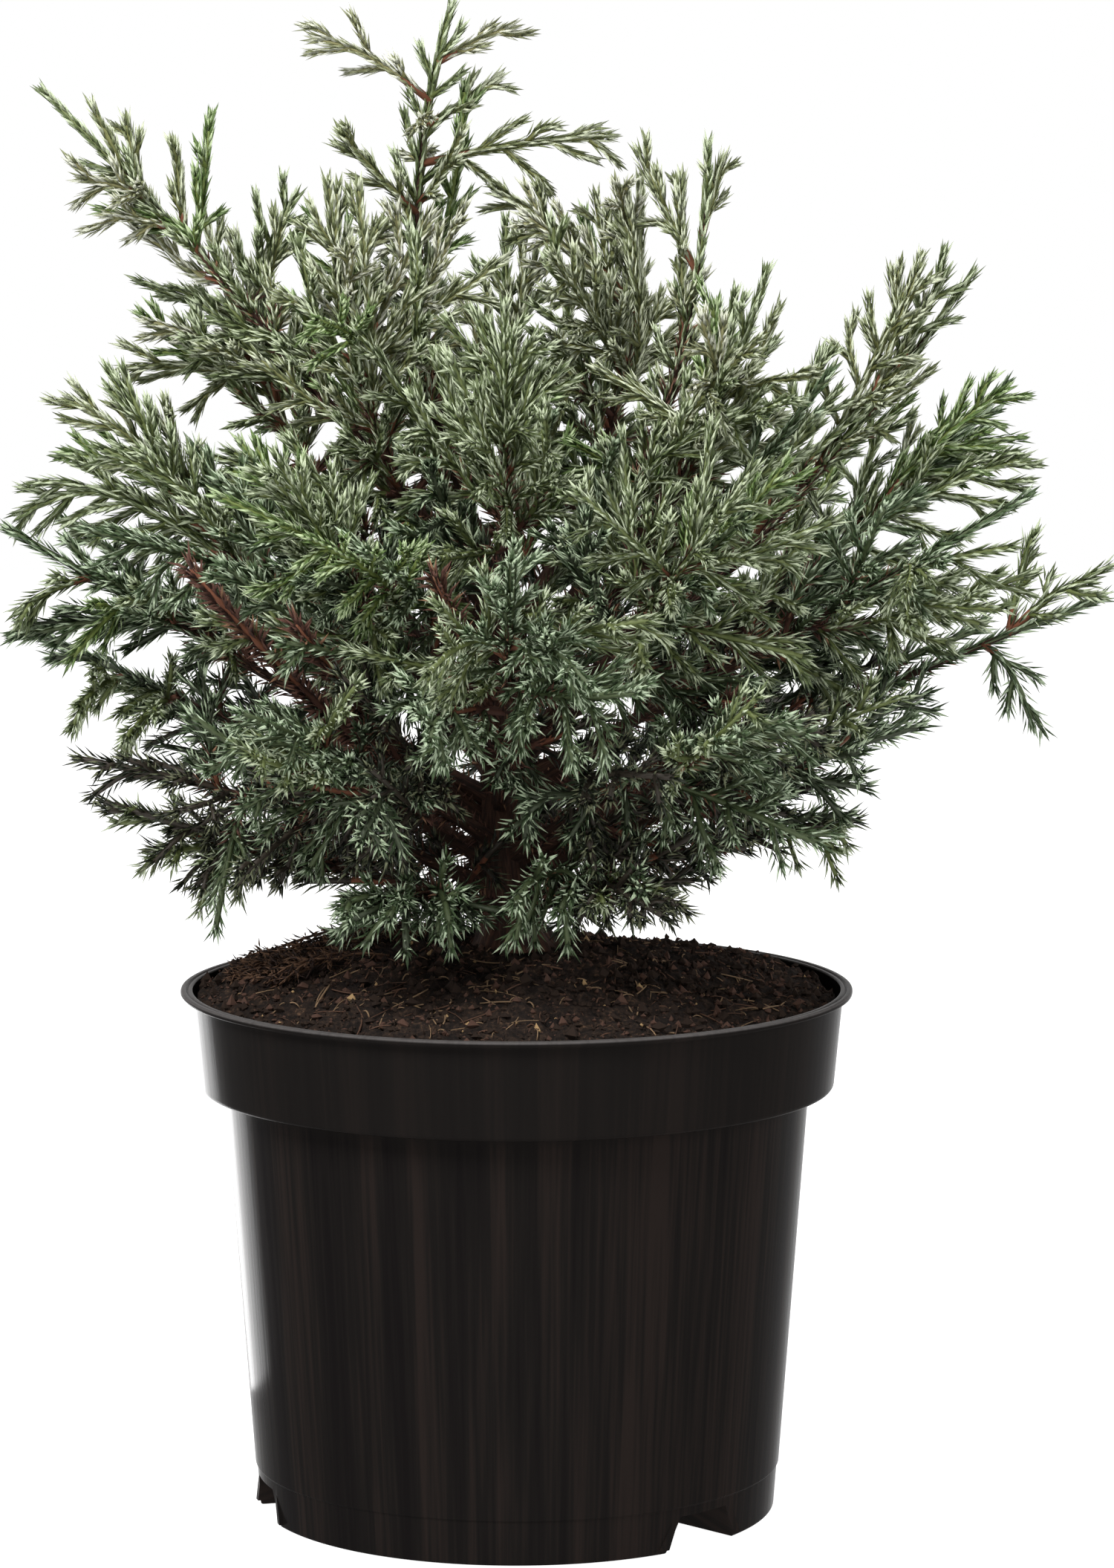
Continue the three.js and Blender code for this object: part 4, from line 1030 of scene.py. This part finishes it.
# %% Side shoots
LONGEST_PARENT = 62 * MM
LAST_SHOOT = 0.97
OPEN_BELOW = 295 * MM
OPENING = 95 * MM
WIDER_BY = 14
NOD = (-0.1, 0.36)
# side shoots are shorter on the slender arms
SIDE_SHARE = np.where(np.isin(NAMES, ["leader", "left_spire", "right_spire"]), 0.64, 1)


def openness(places):
    """From 0 at the crown's top to 1 at its foot, where shoots stand wider and needles stand off more."""
    return np.clip((OPEN_BELOW - places[..., 2]) / OPENING, 0, 1)


def side_shoots(parent, spacing, first, longest, least, lean, lift, salt):
    """Shoots along each parent from the share first of its length to near its tip. The length falls from
    longest (a share of the parent's) to least, and lean gives the angles at the first and at the last. Each
    is tilted out of the parent's flat by up to lift, and salt sets its chances apart from other kinds'."""
    counts = np.maximum(np.round(parent.length * (LAST_SHOOT - first) / spacing), 1).astype(int)
    owner, k = rows_of(counts)
    s = (k + 0.35 + 0.3 * chance(owner, k, salt)) / counts[owner]
    t = lerp(first, LAST_SHOOT, s)
    curves = parent.curves[owner]
    root, way = on_curve(curves, t), heading(curves, t)
    flat = unit(parent.across[owner] - way * dots(parent.across[owner], way))
    hand = np.where((k + owner) % 2, 1, -1)
    tilt = np.radians(spread(owner, k, salt + 1, -lift, lift))
    out = turned_about(flat, way, tilt) * hand[:, None]
    angle = np.radians(lerp(*lean, s) + WIDER_BY * openness(root) + spread(owner, k, salt + 2, -12, 12))
    early = np.minimum(1, 0.55 + 1.6 * s)
    most = longest * np.minimum(parent.length[owner], LONGEST_PARENT) * SIDE_SHARE[parent.arm[owner]]
    full = lerp(most, least, s**0.85) * early * spread(owner, k, salt + 3, 0.7, 1.2)
    full = np.maximum(full, least * 0.8)[:, None]
    start = tilted(way, out, angle)
    later = unit(start + way * 0.55)
    nod = UP * full * spread(owner, k, salt + 4, *NOD)[:, None]
    middle = root + start * full * 0.5
    tip = middle + later * full * 0.5 - nod
    grown = np.stack([root, middle, tip], axis=1)
    shoots = Shoots(grown, unit(turned_about(flat, way, tilt + 0.4)), parent.arm[owner], parent.spray[owner])
    room = inside_reach(grown[:, 1:], shoots.arm, -6 * MM) | (shoots.spray >= FIRST_MARKED)
    return shoots.only(room)


side = side_shoots(main, 6.0 * MM, 0.12, 0.48, 8 * MM, (52, 30), 40, 10)
small = side_shoots(side.only(side.length > 15 * MM), 8.5 * MM, 0.3, 0.46, 6 * MM, (38, 30), 34, 20)
print(len(side.arm), "side shoots and", len(small.arm), "small shoots")
print("in all", round(float(main.length.sum() + side.length.sum() + small.length.sum())), "m of shoots")

# %% [markdown]
# A shoot looks like a braided rope. Its core is a thin four-sided tube, mostly hidden, and the colour of the
# needles' feet that wrap it: lime green on fresh shoots and darker on the others. On the older parts of a
# spray it has turned to orange-brown and then red-brown bark.

# %% Foliage tints
# pale face, green face and core of each kind of spray, from the top of the crown to its foot, but the
# fourth is for fresh ones. They grow darker towards the foot, which is painted shade, and the last one is the
# darkest painted shade, for the lowest and oldest sprays deep inside the crown
TINTS = [
    ((189, 191, 174), (119, 123, 91), (116, 114, 74)),
    ((179, 185, 159), (103, 111, 76), (100, 103, 58)),
    ((170, 180, 150), (87, 99, 64), (87, 97, 50)),
    ((158, 174, 132), (81, 102, 53), (95, 109, 49)),
    ((160, 175, 147), (64, 81, 52), (60, 72, 40)),
    ((152, 167, 138), (43, 58, 33), (42, 51, 29)),
    ((94, 98, 73), (28, 33, 20), (42, 34, 23)),
]
FRESH = 3
FRESH_SHARE = 0.14
FRESH_ABOVE = 225 * MM
LOW_FOOT = 215 * MM
DARKEST_AT = 170 * MM
PALING = 200 * MM
# how many tints a spray goes down by its height, which is painted shade, by its age, which is older foliage
# and partly painted shade inside the crown, and by chance, and up if it is marked and low, which is painted
# light
SHADE_BY_HEIGHT = 4.7
AGE_AND_SHADE = 2.3
BY_CHANCE = 1.1
LIGHT_ON_MARKED = 1.4
TWIG_COLOURS = [plain(f"shoot_core_{k}", tint[2], 0.65) for k, tint in enumerate(TINTS)]
TWIG_COLOURS += [plain("orange_brown_twig", (112, 66, 44), 0.8), plain("red_brown_twig", (74, 42, 29), 0.85)]
ORANGE_TWIG = len(TINTS)


def tint_of(shoots):
    """The tint of each shoot goes darker by the height of its spray's foot, which is painted shade, and by
    its age, which is older foliage and partly painted shade inside the crown, and chance moves it up or down.
    Some high sprays are fresh green ones, and the low marked sprays are lighter than the rest, which is
    painted light."""
    spray = shoots.spray
    foot = main.curves[spray, 0, 2]
    # painted shade: the lower the spray's foot, and the older and deeper the spray, the darker its tint
    down = (1 - np.clip((foot - DARKEST_AT) / PALING, 0, 1)) * SHADE_BY_HEIGHT
    down = down + age[spray] * AGE_AND_SHADE + spread(spray, 3, 31, -BY_CHANCE, BY_CHANCE)
    # painted light: low marked sprays get a lighter tint, as if lit from the front
    down = down - LIGHT_ON_MARKED * ((spray >= FIRST_MARKED) & (foot < LOW_FOOT))
    tint = np.clip(np.round(down), 0, len(TINTS) - 1).astype(int)
    tint = np.where(tint == FRESH, FRESH - 1, tint)
    fresh = (tint <= FRESH) & (foot > FRESH_ABOVE) & (chance(spray, 5, 32) < FRESH_SHARE)
    return np.where(fresh, FRESH, tint)


REGIONS = ["right", "back", "left", "front", "top"]
STEEP = 60


def region_of(arms):
    """The number of an arm's region: the steep arms make the crown's top, and the rest go by azimuth."""
    quarter = ((AZIMUTH[arms] + 45) // 90 % 4).astype(int)
    return np.where(RISE[arms] > STEEP, REGIONS.index("top"), quarter)


def masses_of(region):
    return ["foliage_" + name for name, own in zip(NAMES, region_of(all_arms)) if own == region]


def twig_set(shoots, rings, foot_radius, tip_radius, orange_share, red_share):
    """The part of the crown, points and slots of tubes for all the shoots. A ring whose share of the length
    is below the red share is red-brown, one below the orange share is orange-brown, and the rest is green."""
    rows = np.linspace(0, 1, rings)[None]
    points = tubes(shoots.curves, rows, lerp(foot_radius, tip_radius, rows), TWIG_SIDES)
    ring = ring_numbers(rings, TWIG_SIDES)[tube_faces(rings, TWIG_SIDES)[:, 0]]
    share = (ring + 0.5) / rings
    slots = np.where(share < orange_share[:, None], ORANGE_TWIG, tint_of(shoots)[:, None])
    slots = np.where(share < red_share[:, None], ORANGE_TWIG + 1, slots)
    return region_of(shoots.arm), points, slots


TWIG_SIDES = 4
OLD_WITHIN = 0.76
LOW_AGEING = 0.1
AGE_SLOPE = 2.4
MARKED_AGE = 0.3
# a spray is the older, from 0 to 1, the nearer it is to the heart as a share of its arm's reach
depth = np.linalg.norm(on_curve(main.curves, 0.4) - HEART, axis=1) / REACH[main.arm]
low = np.clip((LOW_FOOT - main.curves[:, 0, 2]) / (40 * MM), 0, 1)
age = np.clip((OLD_WITHIN + LOW_AGEING * low - depth) * AGE_SLOPE, 0, 1)
age[FIRST_MARKED:] *= MARKED_AGE
none = np.zeros(1)
worn_stems = Shoots(worn_curves, worn_across, worn_arm, np.zeros(len(worn_arm), dtype=int))
twig_sets = [
    twig_set(main, 5, 1.15 * MM, 0.85 * MM, 0.12 + 0.42 * age, 0.04 + 0.4 * age),
    twig_set(side, 3, 0.9 * MM, 0.8 * MM, none, none),
    twig_set(small, 3, 0.8 * MM, 0.7 * MM, none, none),
    twig_set(worn_stems, 9, 1.5 * MM, 0.8 * MM, none + 1, none + 0.6),
]
for region, title in enumerate(REGIONS):
    chosen = [(points[own == region], slots[own == region]) for own, points, slots in twig_sets]
    kinds = [(points, tube_faces(points.shape[1] // TWIG_SIDES, TWIG_SIDES)) for points, slots in chosen]
    slots = np.concatenate([slots.ravel() for points, slots in chosen])
    twigs = fill_mesh(f"twigs_{title}", *copies(*kinds), TWIG_COLOURS, slots)
    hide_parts(*masses_of(region))
    print(twigs.name, len(twigs.data.polygons), "triangles")

# %% [markdown]
# The needles are short awls that hug the shoot and cover it like braid. Each has a ridge along its back, from
# its foot to its tip, so one side of the back catches the light and the other doesn't. That is what makes the
# fine pale lines of this foliage. Four triangles give the shape: two for the back and two inside. They stand
# in crossed pairs, and a few more close round the end of the shoot like a small star.

# %% Needle colours
NEEDLE_COLOURS = []
for number, (pale, green, core) in enumerate(TINTS):
    NEEDLE_COLOURS.append(plain(f"needle_bloom_{number}", pale, 0.55, Specular_IOR_Level=0.3))
    NEEDLE_COLOURS.append(plain(f"needle_green_{number}", green, 0.5, Specular_IOR_Level=0.3))
DEAD_TAN = len(NEEDLE_COLOURS)
NEEDLE_COLOURS.append(plain("dead_needle_tan", (116, 84, 60), 0.85))
NEEDLE_COLOURS.append(plain("dead_needle_red", (74, 43, 31), 0.85))
print(len(NEEDLE_COLOURS), "needle colours")


# %% Needles along shoots
STANDING_OFF = 26
HUGGING = 0.5
LOOSER = 0.3


def standing(way, out, angle):
    """The direction of each needle, at an angle in degrees from its shoot, and that of its outer side."""
    direction = tilted(way, out, np.radians(angle))
    return direction, unit(out - direction * dots(out, direction))


def needle_rows(shoots, first, last, step, size, core, lean, scatter, salt):
    """The foot, direction, outer side and length of each needle, and its shoot. Pairs follow each other at a
    step between two shares of the shoot, and each is a quarter turn on from the last."""
    step = step * (1 + LOOSER * openness(shoots.curves[:, 1]))
    pairs = np.maximum(np.round(shoots.length * (last - first) / step), 2).astype(int)
    owner, k = rows_of(pairs * 2)
    pair, hand = k // 2, k % 2
    s = np.minimum((pair + 0.7) / (pairs[owner] - 0.6), 1)
    t = lerp(np.broadcast_to(first, len(pairs))[owner], last, s)
    curves = shoots.curves[owner]
    way = heading(curves, t)
    turn = pair * 90 + hand * 180 + spread(owner, k, salt, -16, 16) + 360 * chance(owner, 1, salt + 1)
    out = sideways(way, np.radians(turn), heading(curves, 0.5))
    foot = on_curve(curves, t) + out * core
    off = HUGGING + STANDING_OFF / lean[0] * openness(foot)
    angle = lerp(*lean, s**2) * off + spread(owner, k, salt + 2, -scatter, scatter)
    return foot, *standing(way, out, angle), size * spread(owner, k, salt + 3, 0.85, 1.12), owner


def tip_tufts(shoots, count, size, core, lean, salt):
    """The same for a few needles that close round the end of each shoot, so that it looks blunt."""
    owner, k = rows_of(np.full(len(shoots.arm), count))
    curves = shoots.curves[owner]
    way = heading(curves, 1)
    out = sideways(way, np.radians(k * GOLDEN_ANGLE + 360 * chance(owner, 2, salt)))
    wider = 0.7 + 1.3 * openness(curves[:, 2])
    angle = lerp(*lean, (k + 0.5) / count) * wider + spread(owner, k, salt + 1, -4, 4)
    foot = curves[:, 2] + out * core * 0.6 - way * size * 0.15
    return foot, *standing(way, out, angle), size * spread(owner, k, salt + 2, 0.85, 1.05), owner


NEEDLE_FACES = np.array([[0, 3, 1], [0, 2, 3], [1, 3, 2], [0, 1, 2]])
NEEDLE_WAIST = 0.4


def needle_points(foot, direction, outside, length, width, tuck=0.08):
    """Four points for each needle: its foot, two sides at its waist, and its tip. The sides are tucked in
    below the line from foot to tip, by a share of the length, and that line is the ridge of its back."""
    size = length[:, None]
    aside = np.cross(outside, direction) * (np.broadcast_to(width, len(foot))[:, None] / 2)
    waist = foot + direction * size * NEEDLE_WAIST - outside * size * tuck
    return np.stack([foot, waist + aside, waist - aside, foot + direction * size], axis=1)


def needle_slots(tint, owner, salt):
    """Most needles have one pale side on their back and one green side, in turn by chance. Some are pale all
    over and some green all over, more of the green ones on the sprays of darker tints, which adds to their
    painted shade."""
    k = np.arange(len(owner))
    pale = 2 * tint[owner]
    kind = chance(owner, k, salt)
    # painted shade: sprays of darker tints get more needles that are green all over
    green_share = 0.1 + 0.05 * tint[owner]
    left_pale = (kind > green_share) & (kind < 0.6) | (kind > 0.88)
    right_pale = kind >= 0.6
    return np.stack([pale + ~left_pale, pale + ~right_pale, pale + (kind < 0.5), pale + 1], axis=1)


TUFT = 6
needle_sets = []
# the green needles of an older spray begin further along it
bare = 0.04 + 0.46 * age
for shoots, first, step, size, width, core, salt in (
    (main, bare, 1.02 * MM, 6.0 * MM, 0.86 * MM, 0.95 * MM, 40),
    (side, 0.04, 1.0 * MM, 5.5 * MM, 0.84 * MM, 0.85 * MM, 50),
    (small, 0.06, 0.98 * MM, 4.9 * MM, 0.8 * MM, 0.7 * MM, 60),
):
    rows = needle_rows(shoots, first, 1, step, size, core, (20, 16), 6, salt)
    tufts = tip_tufts(shoots, TUFT, size * 0.85, core, (4, 18), salt + 7)
    foot, direction, outside, length, owner = (np.concatenate(both) for both in zip(rows, tufts))
    points = needle_points(foot, direction, outside, length, width * (1.5 - 0.5 * openness(foot)))
    needle_sets.append((region_of(shoots.arm)[owner], points, needle_slots(tint_of(shoots), owner, salt + 5)))
print(sum(len(part[0]) for part in needle_sets), "needles")

# %% [markdown]
# The inner parts of the sprays have lost their green. Tan and red-brown needles still stand on them and on
# the stems and worn stems, at wide angles, and they fill the shade inside the crown.

# %% Dead needles
DEAD_FROM = 0.05
worn = main.only(age > DEAD_FROM)
stems = Shoots(CURVES, tip_across, all_arms, all_arms)
for shoots, last, step, size, core, salt in (
    (worn, float(bare.max()), 1.5 * MM, 5.0 * MM, 0.7 * MM, 70),
    (stems, 0.6, 0.9 * MM, 5.0 * MM, 1.3 * MM, 76),
    (worn_stems, 1.0, 0.5 * MM, 7.5 * MM, 0.9 * MM, 84),
):
    *needles, owner = needle_rows(shoots, DEAD_FROM, last, step, size, core, (44, 36), 24, salt)
    points = needle_points(*needles, 0.7 * MM, 0.12)
    slots = DEAD_TAN + (chance(owner, np.arange(len(owner)), salt + 5) < 0.8)
    needle_sets.append((region_of(shoots.arm)[owner], points, np.repeat(slots[:, None], 4, axis=1)))
    print(len(owner), "dead needles")


# %% Join the needles of each part of the crown
PIECE_LIMIT = 48000  # needles of four triangles
for region, title in enumerate(REGIONS):
    points, slots = (np.concatenate([one[k][one[0] == region] for one in needle_sets]) for k in (1, 2))
    shares = math.ceil(len(points) / PIECE_LIMIT)
    for part in range(shares):
        solids = copies((points[part::shares], NEEDLE_FACES))
        name = f"needles_{title}_{part + 1}"
        piece = fill_mesh(name, *solids, NEEDLE_COLOURS, slots[part::shares].ravel())
        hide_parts(*masses_of(region))
        print(piece.name, len(piece.data.polygons), "triangles")

# %% [markdown]
# The compost is nearly black peat. Its top is uneven at three sizes: low mounds, clods of a few millimetres,
# and grains. Crumbs, tan fibres and pale specks lie on it, and without them it would look like a smooth cake.
# It reaches down into the pot and stops above the drainage channels.

# %% Dark compost
peat = Finish("dark_peat_compost", tone(30, 22, 18), 0.95, Specular_IOR_Level=0.2)
spot = peat.place()
coarse = peat.noise(spot, 210, 4.0, 0.65)
grains = peat.noise(spot, 900, 3.0, 0.6)
mixed = coarse * 0.5 + grains * 0.5
peat.feed("Base Color", peat.ramp(mixed, [
    (0.38, tone(13, 9, 7)),
    (0.50, tone(30, 22, 18)),
    (0.58, tone(48, 36, 28)),
    (0.68, tone(90, 68, 52)),
]))
peat.feed("Roughness", 1.0 - mixed * 0.15)
peat.bump(coarse + grains * 0.6, 0.9 * MM, 1.0)
print("the compost's tree has", len(peat.tree.nodes), "nodes")

# %% The compost's surface
SOIL_RADIUS = 90.2 * MM
SOIL_BOTTOM = 13.5 * MM
SOIL_SIDES = 200
SOIL_RINGS = 72
NARROWEST = 0.012
CLODS = ((0.45, 4, 22), (0.3, 2, 23))


def ground_height(x, y):
    """The model's mound, plus low mounds, clods and grains. It is heaped up a little along the back of the
    pot, and more at its back left and against its left wall. The low mounds are a product of two waves, plus
    one slanting wave."""
    u, v = x / MM, y / MM
    mounds = np.sin(0.21 * u + 1.3) * np.cos(0.17 * v - 0.6) + 0.6 * np.sin(0.09 * u - 0.23 * v)
    flat = joined(x, y)
    clods = np.abs(rough(flat, 9 * MM, 21)) * 0.9 + ridged(flat, CLODS)
    radius = np.hypot(x, y)
    heaped = np.clip((radius - 55 * MM) / (30 * MM), 0, 1) * np.clip(y / (50 * MM), 0, 1)
    left_heap = 4.5 * np.exp(-((x + 42 * MM) ** 2 + (y - 62 * MM) ** 2) / (24 * MM) ** 2)
    left_bank = 2.4 * np.clip((-x - 62 * MM) / (22 * MM), 0, 1)
    added_height = 0.8 * mounds + 1.1 * clods - 0.4 + 3.2 * heaped + left_heap + left_bank
    return soil_height(radius) + added_height * MM


def on_ground(x, y, lift):
    return joined(x, y, ground_height(x, y) + lift)


soil_turn = turns_of(SOIL_SIDES)
top = on_ground(*polar(SOIL_RADIUS * np.linspace(1, NARROWEST, SOIL_RINGS)[:, None], soil_turn), 0)
# radius and height of the rings below the top, from the bottom up
below = np.array([
    (body_radius(SOIL_BOTTOM) - WALL - 1 * MM, SOIL_BOTTOM),
    (body_radius(LEDGE) - WALL - 1 * MM, LEDGE + WALL),
    (COLLAR_BOTTOM_RADIUS - WALL - 0.6 * MM, LEDGE + WALL + 1.5 * MM),
])
below = joined(*polar(below[:, :1], soil_turn), below[:, 1:])
soil_rings = np.concatenate([below[:1] * (0.02, 0.02, 1), below, top])
soil_ends = np.array([(0, 0, SOIL_BOTTOM), on_ground(0, 0, 0)])
soil_points = np.vstack([soil_rings.reshape(-1, 3), soil_ends])
soil = fill_mesh("compost", soil_points, tube_faces(len(soil_rings), SOIL_SIDES), [peat.material])
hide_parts("soil")
print("the compost has", len(soil.data.polygons), "triangles")

# %% Crumbs of compost
CRUMBS = 7000
CRUMB_SHARP_ANGLE = 30
LUMP = np.array([(0, 0, 1), (1, 0, 0.1), (0.3, 0.95, -0.1), (-0.8, 0.6, 0.1), (-0.8, -0.6, -0.1),
                 (0.3, -0.95, 0.1), (0, 0, -1)])
LUMP_FACES = np.array([[0, k, k % 5 + 1] for k in range(1, 6)] + [[6, k % 5 + 1, k] for k in range(1, 6)])
# the shares of the crumbs up to peat and up to bark, and the rest are pale
CRUMB_SHARES = (0.72, 0.985)
CRUMB_COLOURS = [
    plain("peat_crumb", (38, 28, 22), 0.95, Specular_IOR_Level=0.2),
    plain("bark_crumb", (66, 42, 30), 0.9),
    plain("pale_crumb", (150, 122, 84), 0.9),
]


def strewn(number, edge, salt):
    """The x and y of places spread evenly over the compost out to an edge."""
    return polar(edge * np.sqrt(chance(number, 1, salt)), 2 * math.pi * chance(number, 2, salt + 1))


number = np.arange(CRUMBS)
crumb_size = (0.4 + 1.3 * chance(number, 3, 73) ** 6) * MM
stretch = joined(*(spread(number, 4, k, 0.6, 1.4) for k in (74, 75, 76)))
dent = chance(number[:, None, None], np.arange(LUMP.size).reshape(LUMP.shape), 77) - 0.5
bent = (LUMP * stretch[:, None] + dent * 0.5) * crumb_size[:, None, None]
own_turn = 2 * math.pi * chance(number, 5, 78)[:, None]
east, north = polar(bent[..., 0], own_turn), polar(bent[..., 1], own_turn)
bent = joined(east[0] - north[1], east[1] + north[0], bent[..., 2])
seat = on_ground(*strewn(number, SOIL_RADIUS - 0.5 * MM, 71), crumb_size * 0.3)
crumb_slot = (chance(number, 6, 79)[:, None] > CRUMB_SHARES).sum(1)
solids = copies((bent + seat[:, None], LUMP_FACES))
crumbs = fill_mesh("crumbs_of_compost", *solids, CRUMB_COLOURS, np.repeat(crumb_slot, len(LUMP_FACES)))
crumbs.data.set_sharp_from_angle(angle=math.radians(CRUMB_SHARP_ANGLE))
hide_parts("soil")
print(CRUMBS, "crumbs,", len(crumbs.data.polygons), "triangles")

# %% [markdown]
# Thin pale and dark fibres lie on the compost, and a few dried brown fronds lie at its left. Fibres are short
# curved tubes that follow the ground.

# %% Fibres
FIBRES = 700
STICK_RINGS = 5
FIBRE_COLOURS = [plain("straw_fibre", (122, 98, 72), 0.85), plain("dark_fibre", (78, 52, 36), 0.85)]
number = np.arange(FIBRES)
x, y = strewn(number, SOIL_RADIUS - 8 * MM, 81)
fibre_way = 2 * math.pi * chance(number, 3, 83)
fibre_half = (1.0 + 6.5 * chance(number, 4, 84) ** 3) * MM
half_x, half_y = polar(fibre_half, fibre_way)
bend_x, bend_y = polar(spread(number, 5, 85, -0.5, 0.5) * fibre_half, fibre_way)
fibre_curves = np.stack([
    on_ground(x - half_x, y - half_y, 0.15 * MM),
    on_ground(x - bend_y, y + bend_x, 0.9 * MM),
    on_ground(x + half_x, y + half_y, 0.15 * MM),
], axis=1)
stick_rows = np.linspace(0, 1, STICK_RINGS)
stick_shape = tube_faces(STICK_RINGS, 3)
fibre_radii = 0.22 * MM * spread(number, 6, 86, 0.6, 1.3)[:, None]
solids = copies((tubes(fibre_curves, stick_rows, fibre_radii, 3), stick_shape))
slots = np.repeat((chance(number, 7, 87) < 0.5).astype(int), len(stick_shape))
fibres_piece = fill_mesh("fibres_on_compost", *solids, FIBRE_COLOURS, slots)
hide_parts("soil")
print(FIBRES, "fibres")

# %% Dried fronds
FRONDS = 26
FROND_EDGE = 80 * MM
FROND_COLOURS = [
    plain("dried_frond_brown", (100, 72, 52), 0.85),
    plain("dried_frond_dark", (54, 36, 28), 0.85),
]
number = np.arange(FRONDS)
root_x, root_y = polar(spread(number, 2, 92, 34, 80) * MM, np.radians(spread(number, 1, 91, 104, 190)))
long_x, long_y = polar(spread(number, 4, 94, 18, 34) * MM, np.radians(spread(number, 3, 93, 150, 250)))
tip_x, tip_y = np.clip(root_x + long_x, -FROND_EDGE, FROND_EDGE), root_y + long_y
frond_curves = np.stack([
    on_ground(root_x, root_y, 1.0 * MM),
    on_ground((root_x + tip_x) / 2, (root_y + tip_y) / 2, 9 * MM * chance(number, 5, 95)),
    on_ground(tip_x, tip_y, 1.5 * MM),
], axis=1)
frond_across = unit(np.cross(heading(frond_curves, 0.5), UP))
# a number past the last spray's, so that the crown's rules of space don't hold for the fronds
unowned = np.full(FRONDS, len(main.arm))
fronds = Shoots(frond_curves, frond_across, np.zeros(FRONDS, dtype=int), unowned)
frond_sides = side_shoots(fronds, 3.0 * MM, 0.1, 0.3, 4 * MM, (62, 46), 20, 96)
kinds = []
for shoots, radius in ((fronds, 0.45 * MM), (frond_sides, 0.35 * MM)):
    *needles, owner = needle_rows(shoots, 0.1, 1, 1.3 * MM, 3.4 * MM, 0.3 * MM, (34, 26), 14, 97)
    kinds.append((tubes(shoots.curves, stick_rows, np.full((1, 1), radius), 3), stick_shape))
    kinds.append((needle_points(*needles, 0.6 * MM, 0.1), NEEDLE_FACES))
points, faces = copies(*kinds)
slots = (chance(faces[:, 0] // 4, 1, 98) < 0.45).astype(int)
dried = fill_mesh("dried_fronds", points, faces, FROND_COLOURS, slots)
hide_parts("soil")
print(FRONDS, "dried fronds,", len(dried.data.polygons), "triangles")

# %% [markdown]
# The photograph shows the plant cut out on plain white, with soft light from above and the front. So the
# floor glows white, and the surroundings are white low round the horizon and dim above, where the lights
# take over: one high at the left front, a broad one on top and a weak one at the right. A white horizon also
# draws a thin bright line down each side of the pot. The left one is wider in the photograph, so a small
# upright light stands close to the pot, at its left and a little behind.

# %% Floor and light
FLOOR_SIZE = 6.0
SKY_STRENGTH = 0.05
SKY_FADES = (0.17, 0.3)
BELOW = 0.2 * MM
WHITE = (1, 1, 1, 1)
paper = plain("white_paper", (140, 140, 140), 0.9, Specular_IOR_Level=0.0, Emission_Color=WHITE,
              Emission_Strength=1.0)
half = FLOOR_SIZE / 2
floor_corners = [(x, y, -BELOW) for x, y in ((-half, -half), (half, -half), (half, half), (-half, half))]
floor_mesh = bpy.data.meshes.new("white_floor")
floor_mesh.from_pydata(floor_corners, [], [(0, 1, 2, 3)])
floor_mesh.materials.append(paper)
floor = added("white_floor", floor_mesh)

world = bpy.data.worlds.new("white_surroundings")
world.use_nodes = True
sky = world.node_tree
direction = sky.nodes.new("ShaderNodeTexCoord")
height_of = sky.nodes.new("ShaderNodeSeparateXYZ")
fade = sky.nodes.new("ShaderNodeMapRange")
for name, value in zip(("From Min", "From Max", "To Min", "To Max"), (*SKY_FADES, 1.0, SKY_STRENGTH)):
    fade.inputs[name].default_value = value
sky.links.new(direction.outputs["Generated"], height_of.inputs["Vector"])
sky.links.new(height_of.outputs["Z"], fade.inputs["Value"])
sky.links.new(fade.outputs["Result"], sky.nodes["Background"].inputs["Strength"])
sky.nodes["Background"].inputs["Color"].default_value = WHITE
bpy.context.scene.world = world
bpy.context.scene.view_settings.view_transform = "Standard"


def soft_light(name, place, aim, width, height, power, beam=180):
    """A flat light that faces a point. Its power is in watts, and the width of its beam in degrees."""
    data = bpy.data.lights.new(name, "AREA")
    data.shape = "RECTANGLE"
    data.size = width
    data.size_y = height
    data.energy = power
    data.spread = math.radians(beam)
    light = added(name, data)
    x, y, z = np.array(aim) - np.array(place)
    light.location = place
    light.rotation_euler = (math.atan2(math.hypot(x, y), -z), 0, math.atan2(y, x) - math.pi / 2)


soft_light("key_light", (-0.8, -1.2, 1.7), (0, 0, 0.25), 0.9, 0.9, 54)
soft_light("top_light", (0.2, 0.1, 2.2), (0, 0, 0.25), 1.6, 1.6, 42)
soft_light("fill_light", (1.3, -1.0, 0.8), (0, 0, 0.22), 1.0, 1.0, 11)
soft_light("edge_light", (-0.128, 0.074, 0.067), (-0.056, 0.002, 0.062), 0.07, 0.125, 0.12, 100)
print("the stage has", len(bpy.data.lights), "lights")
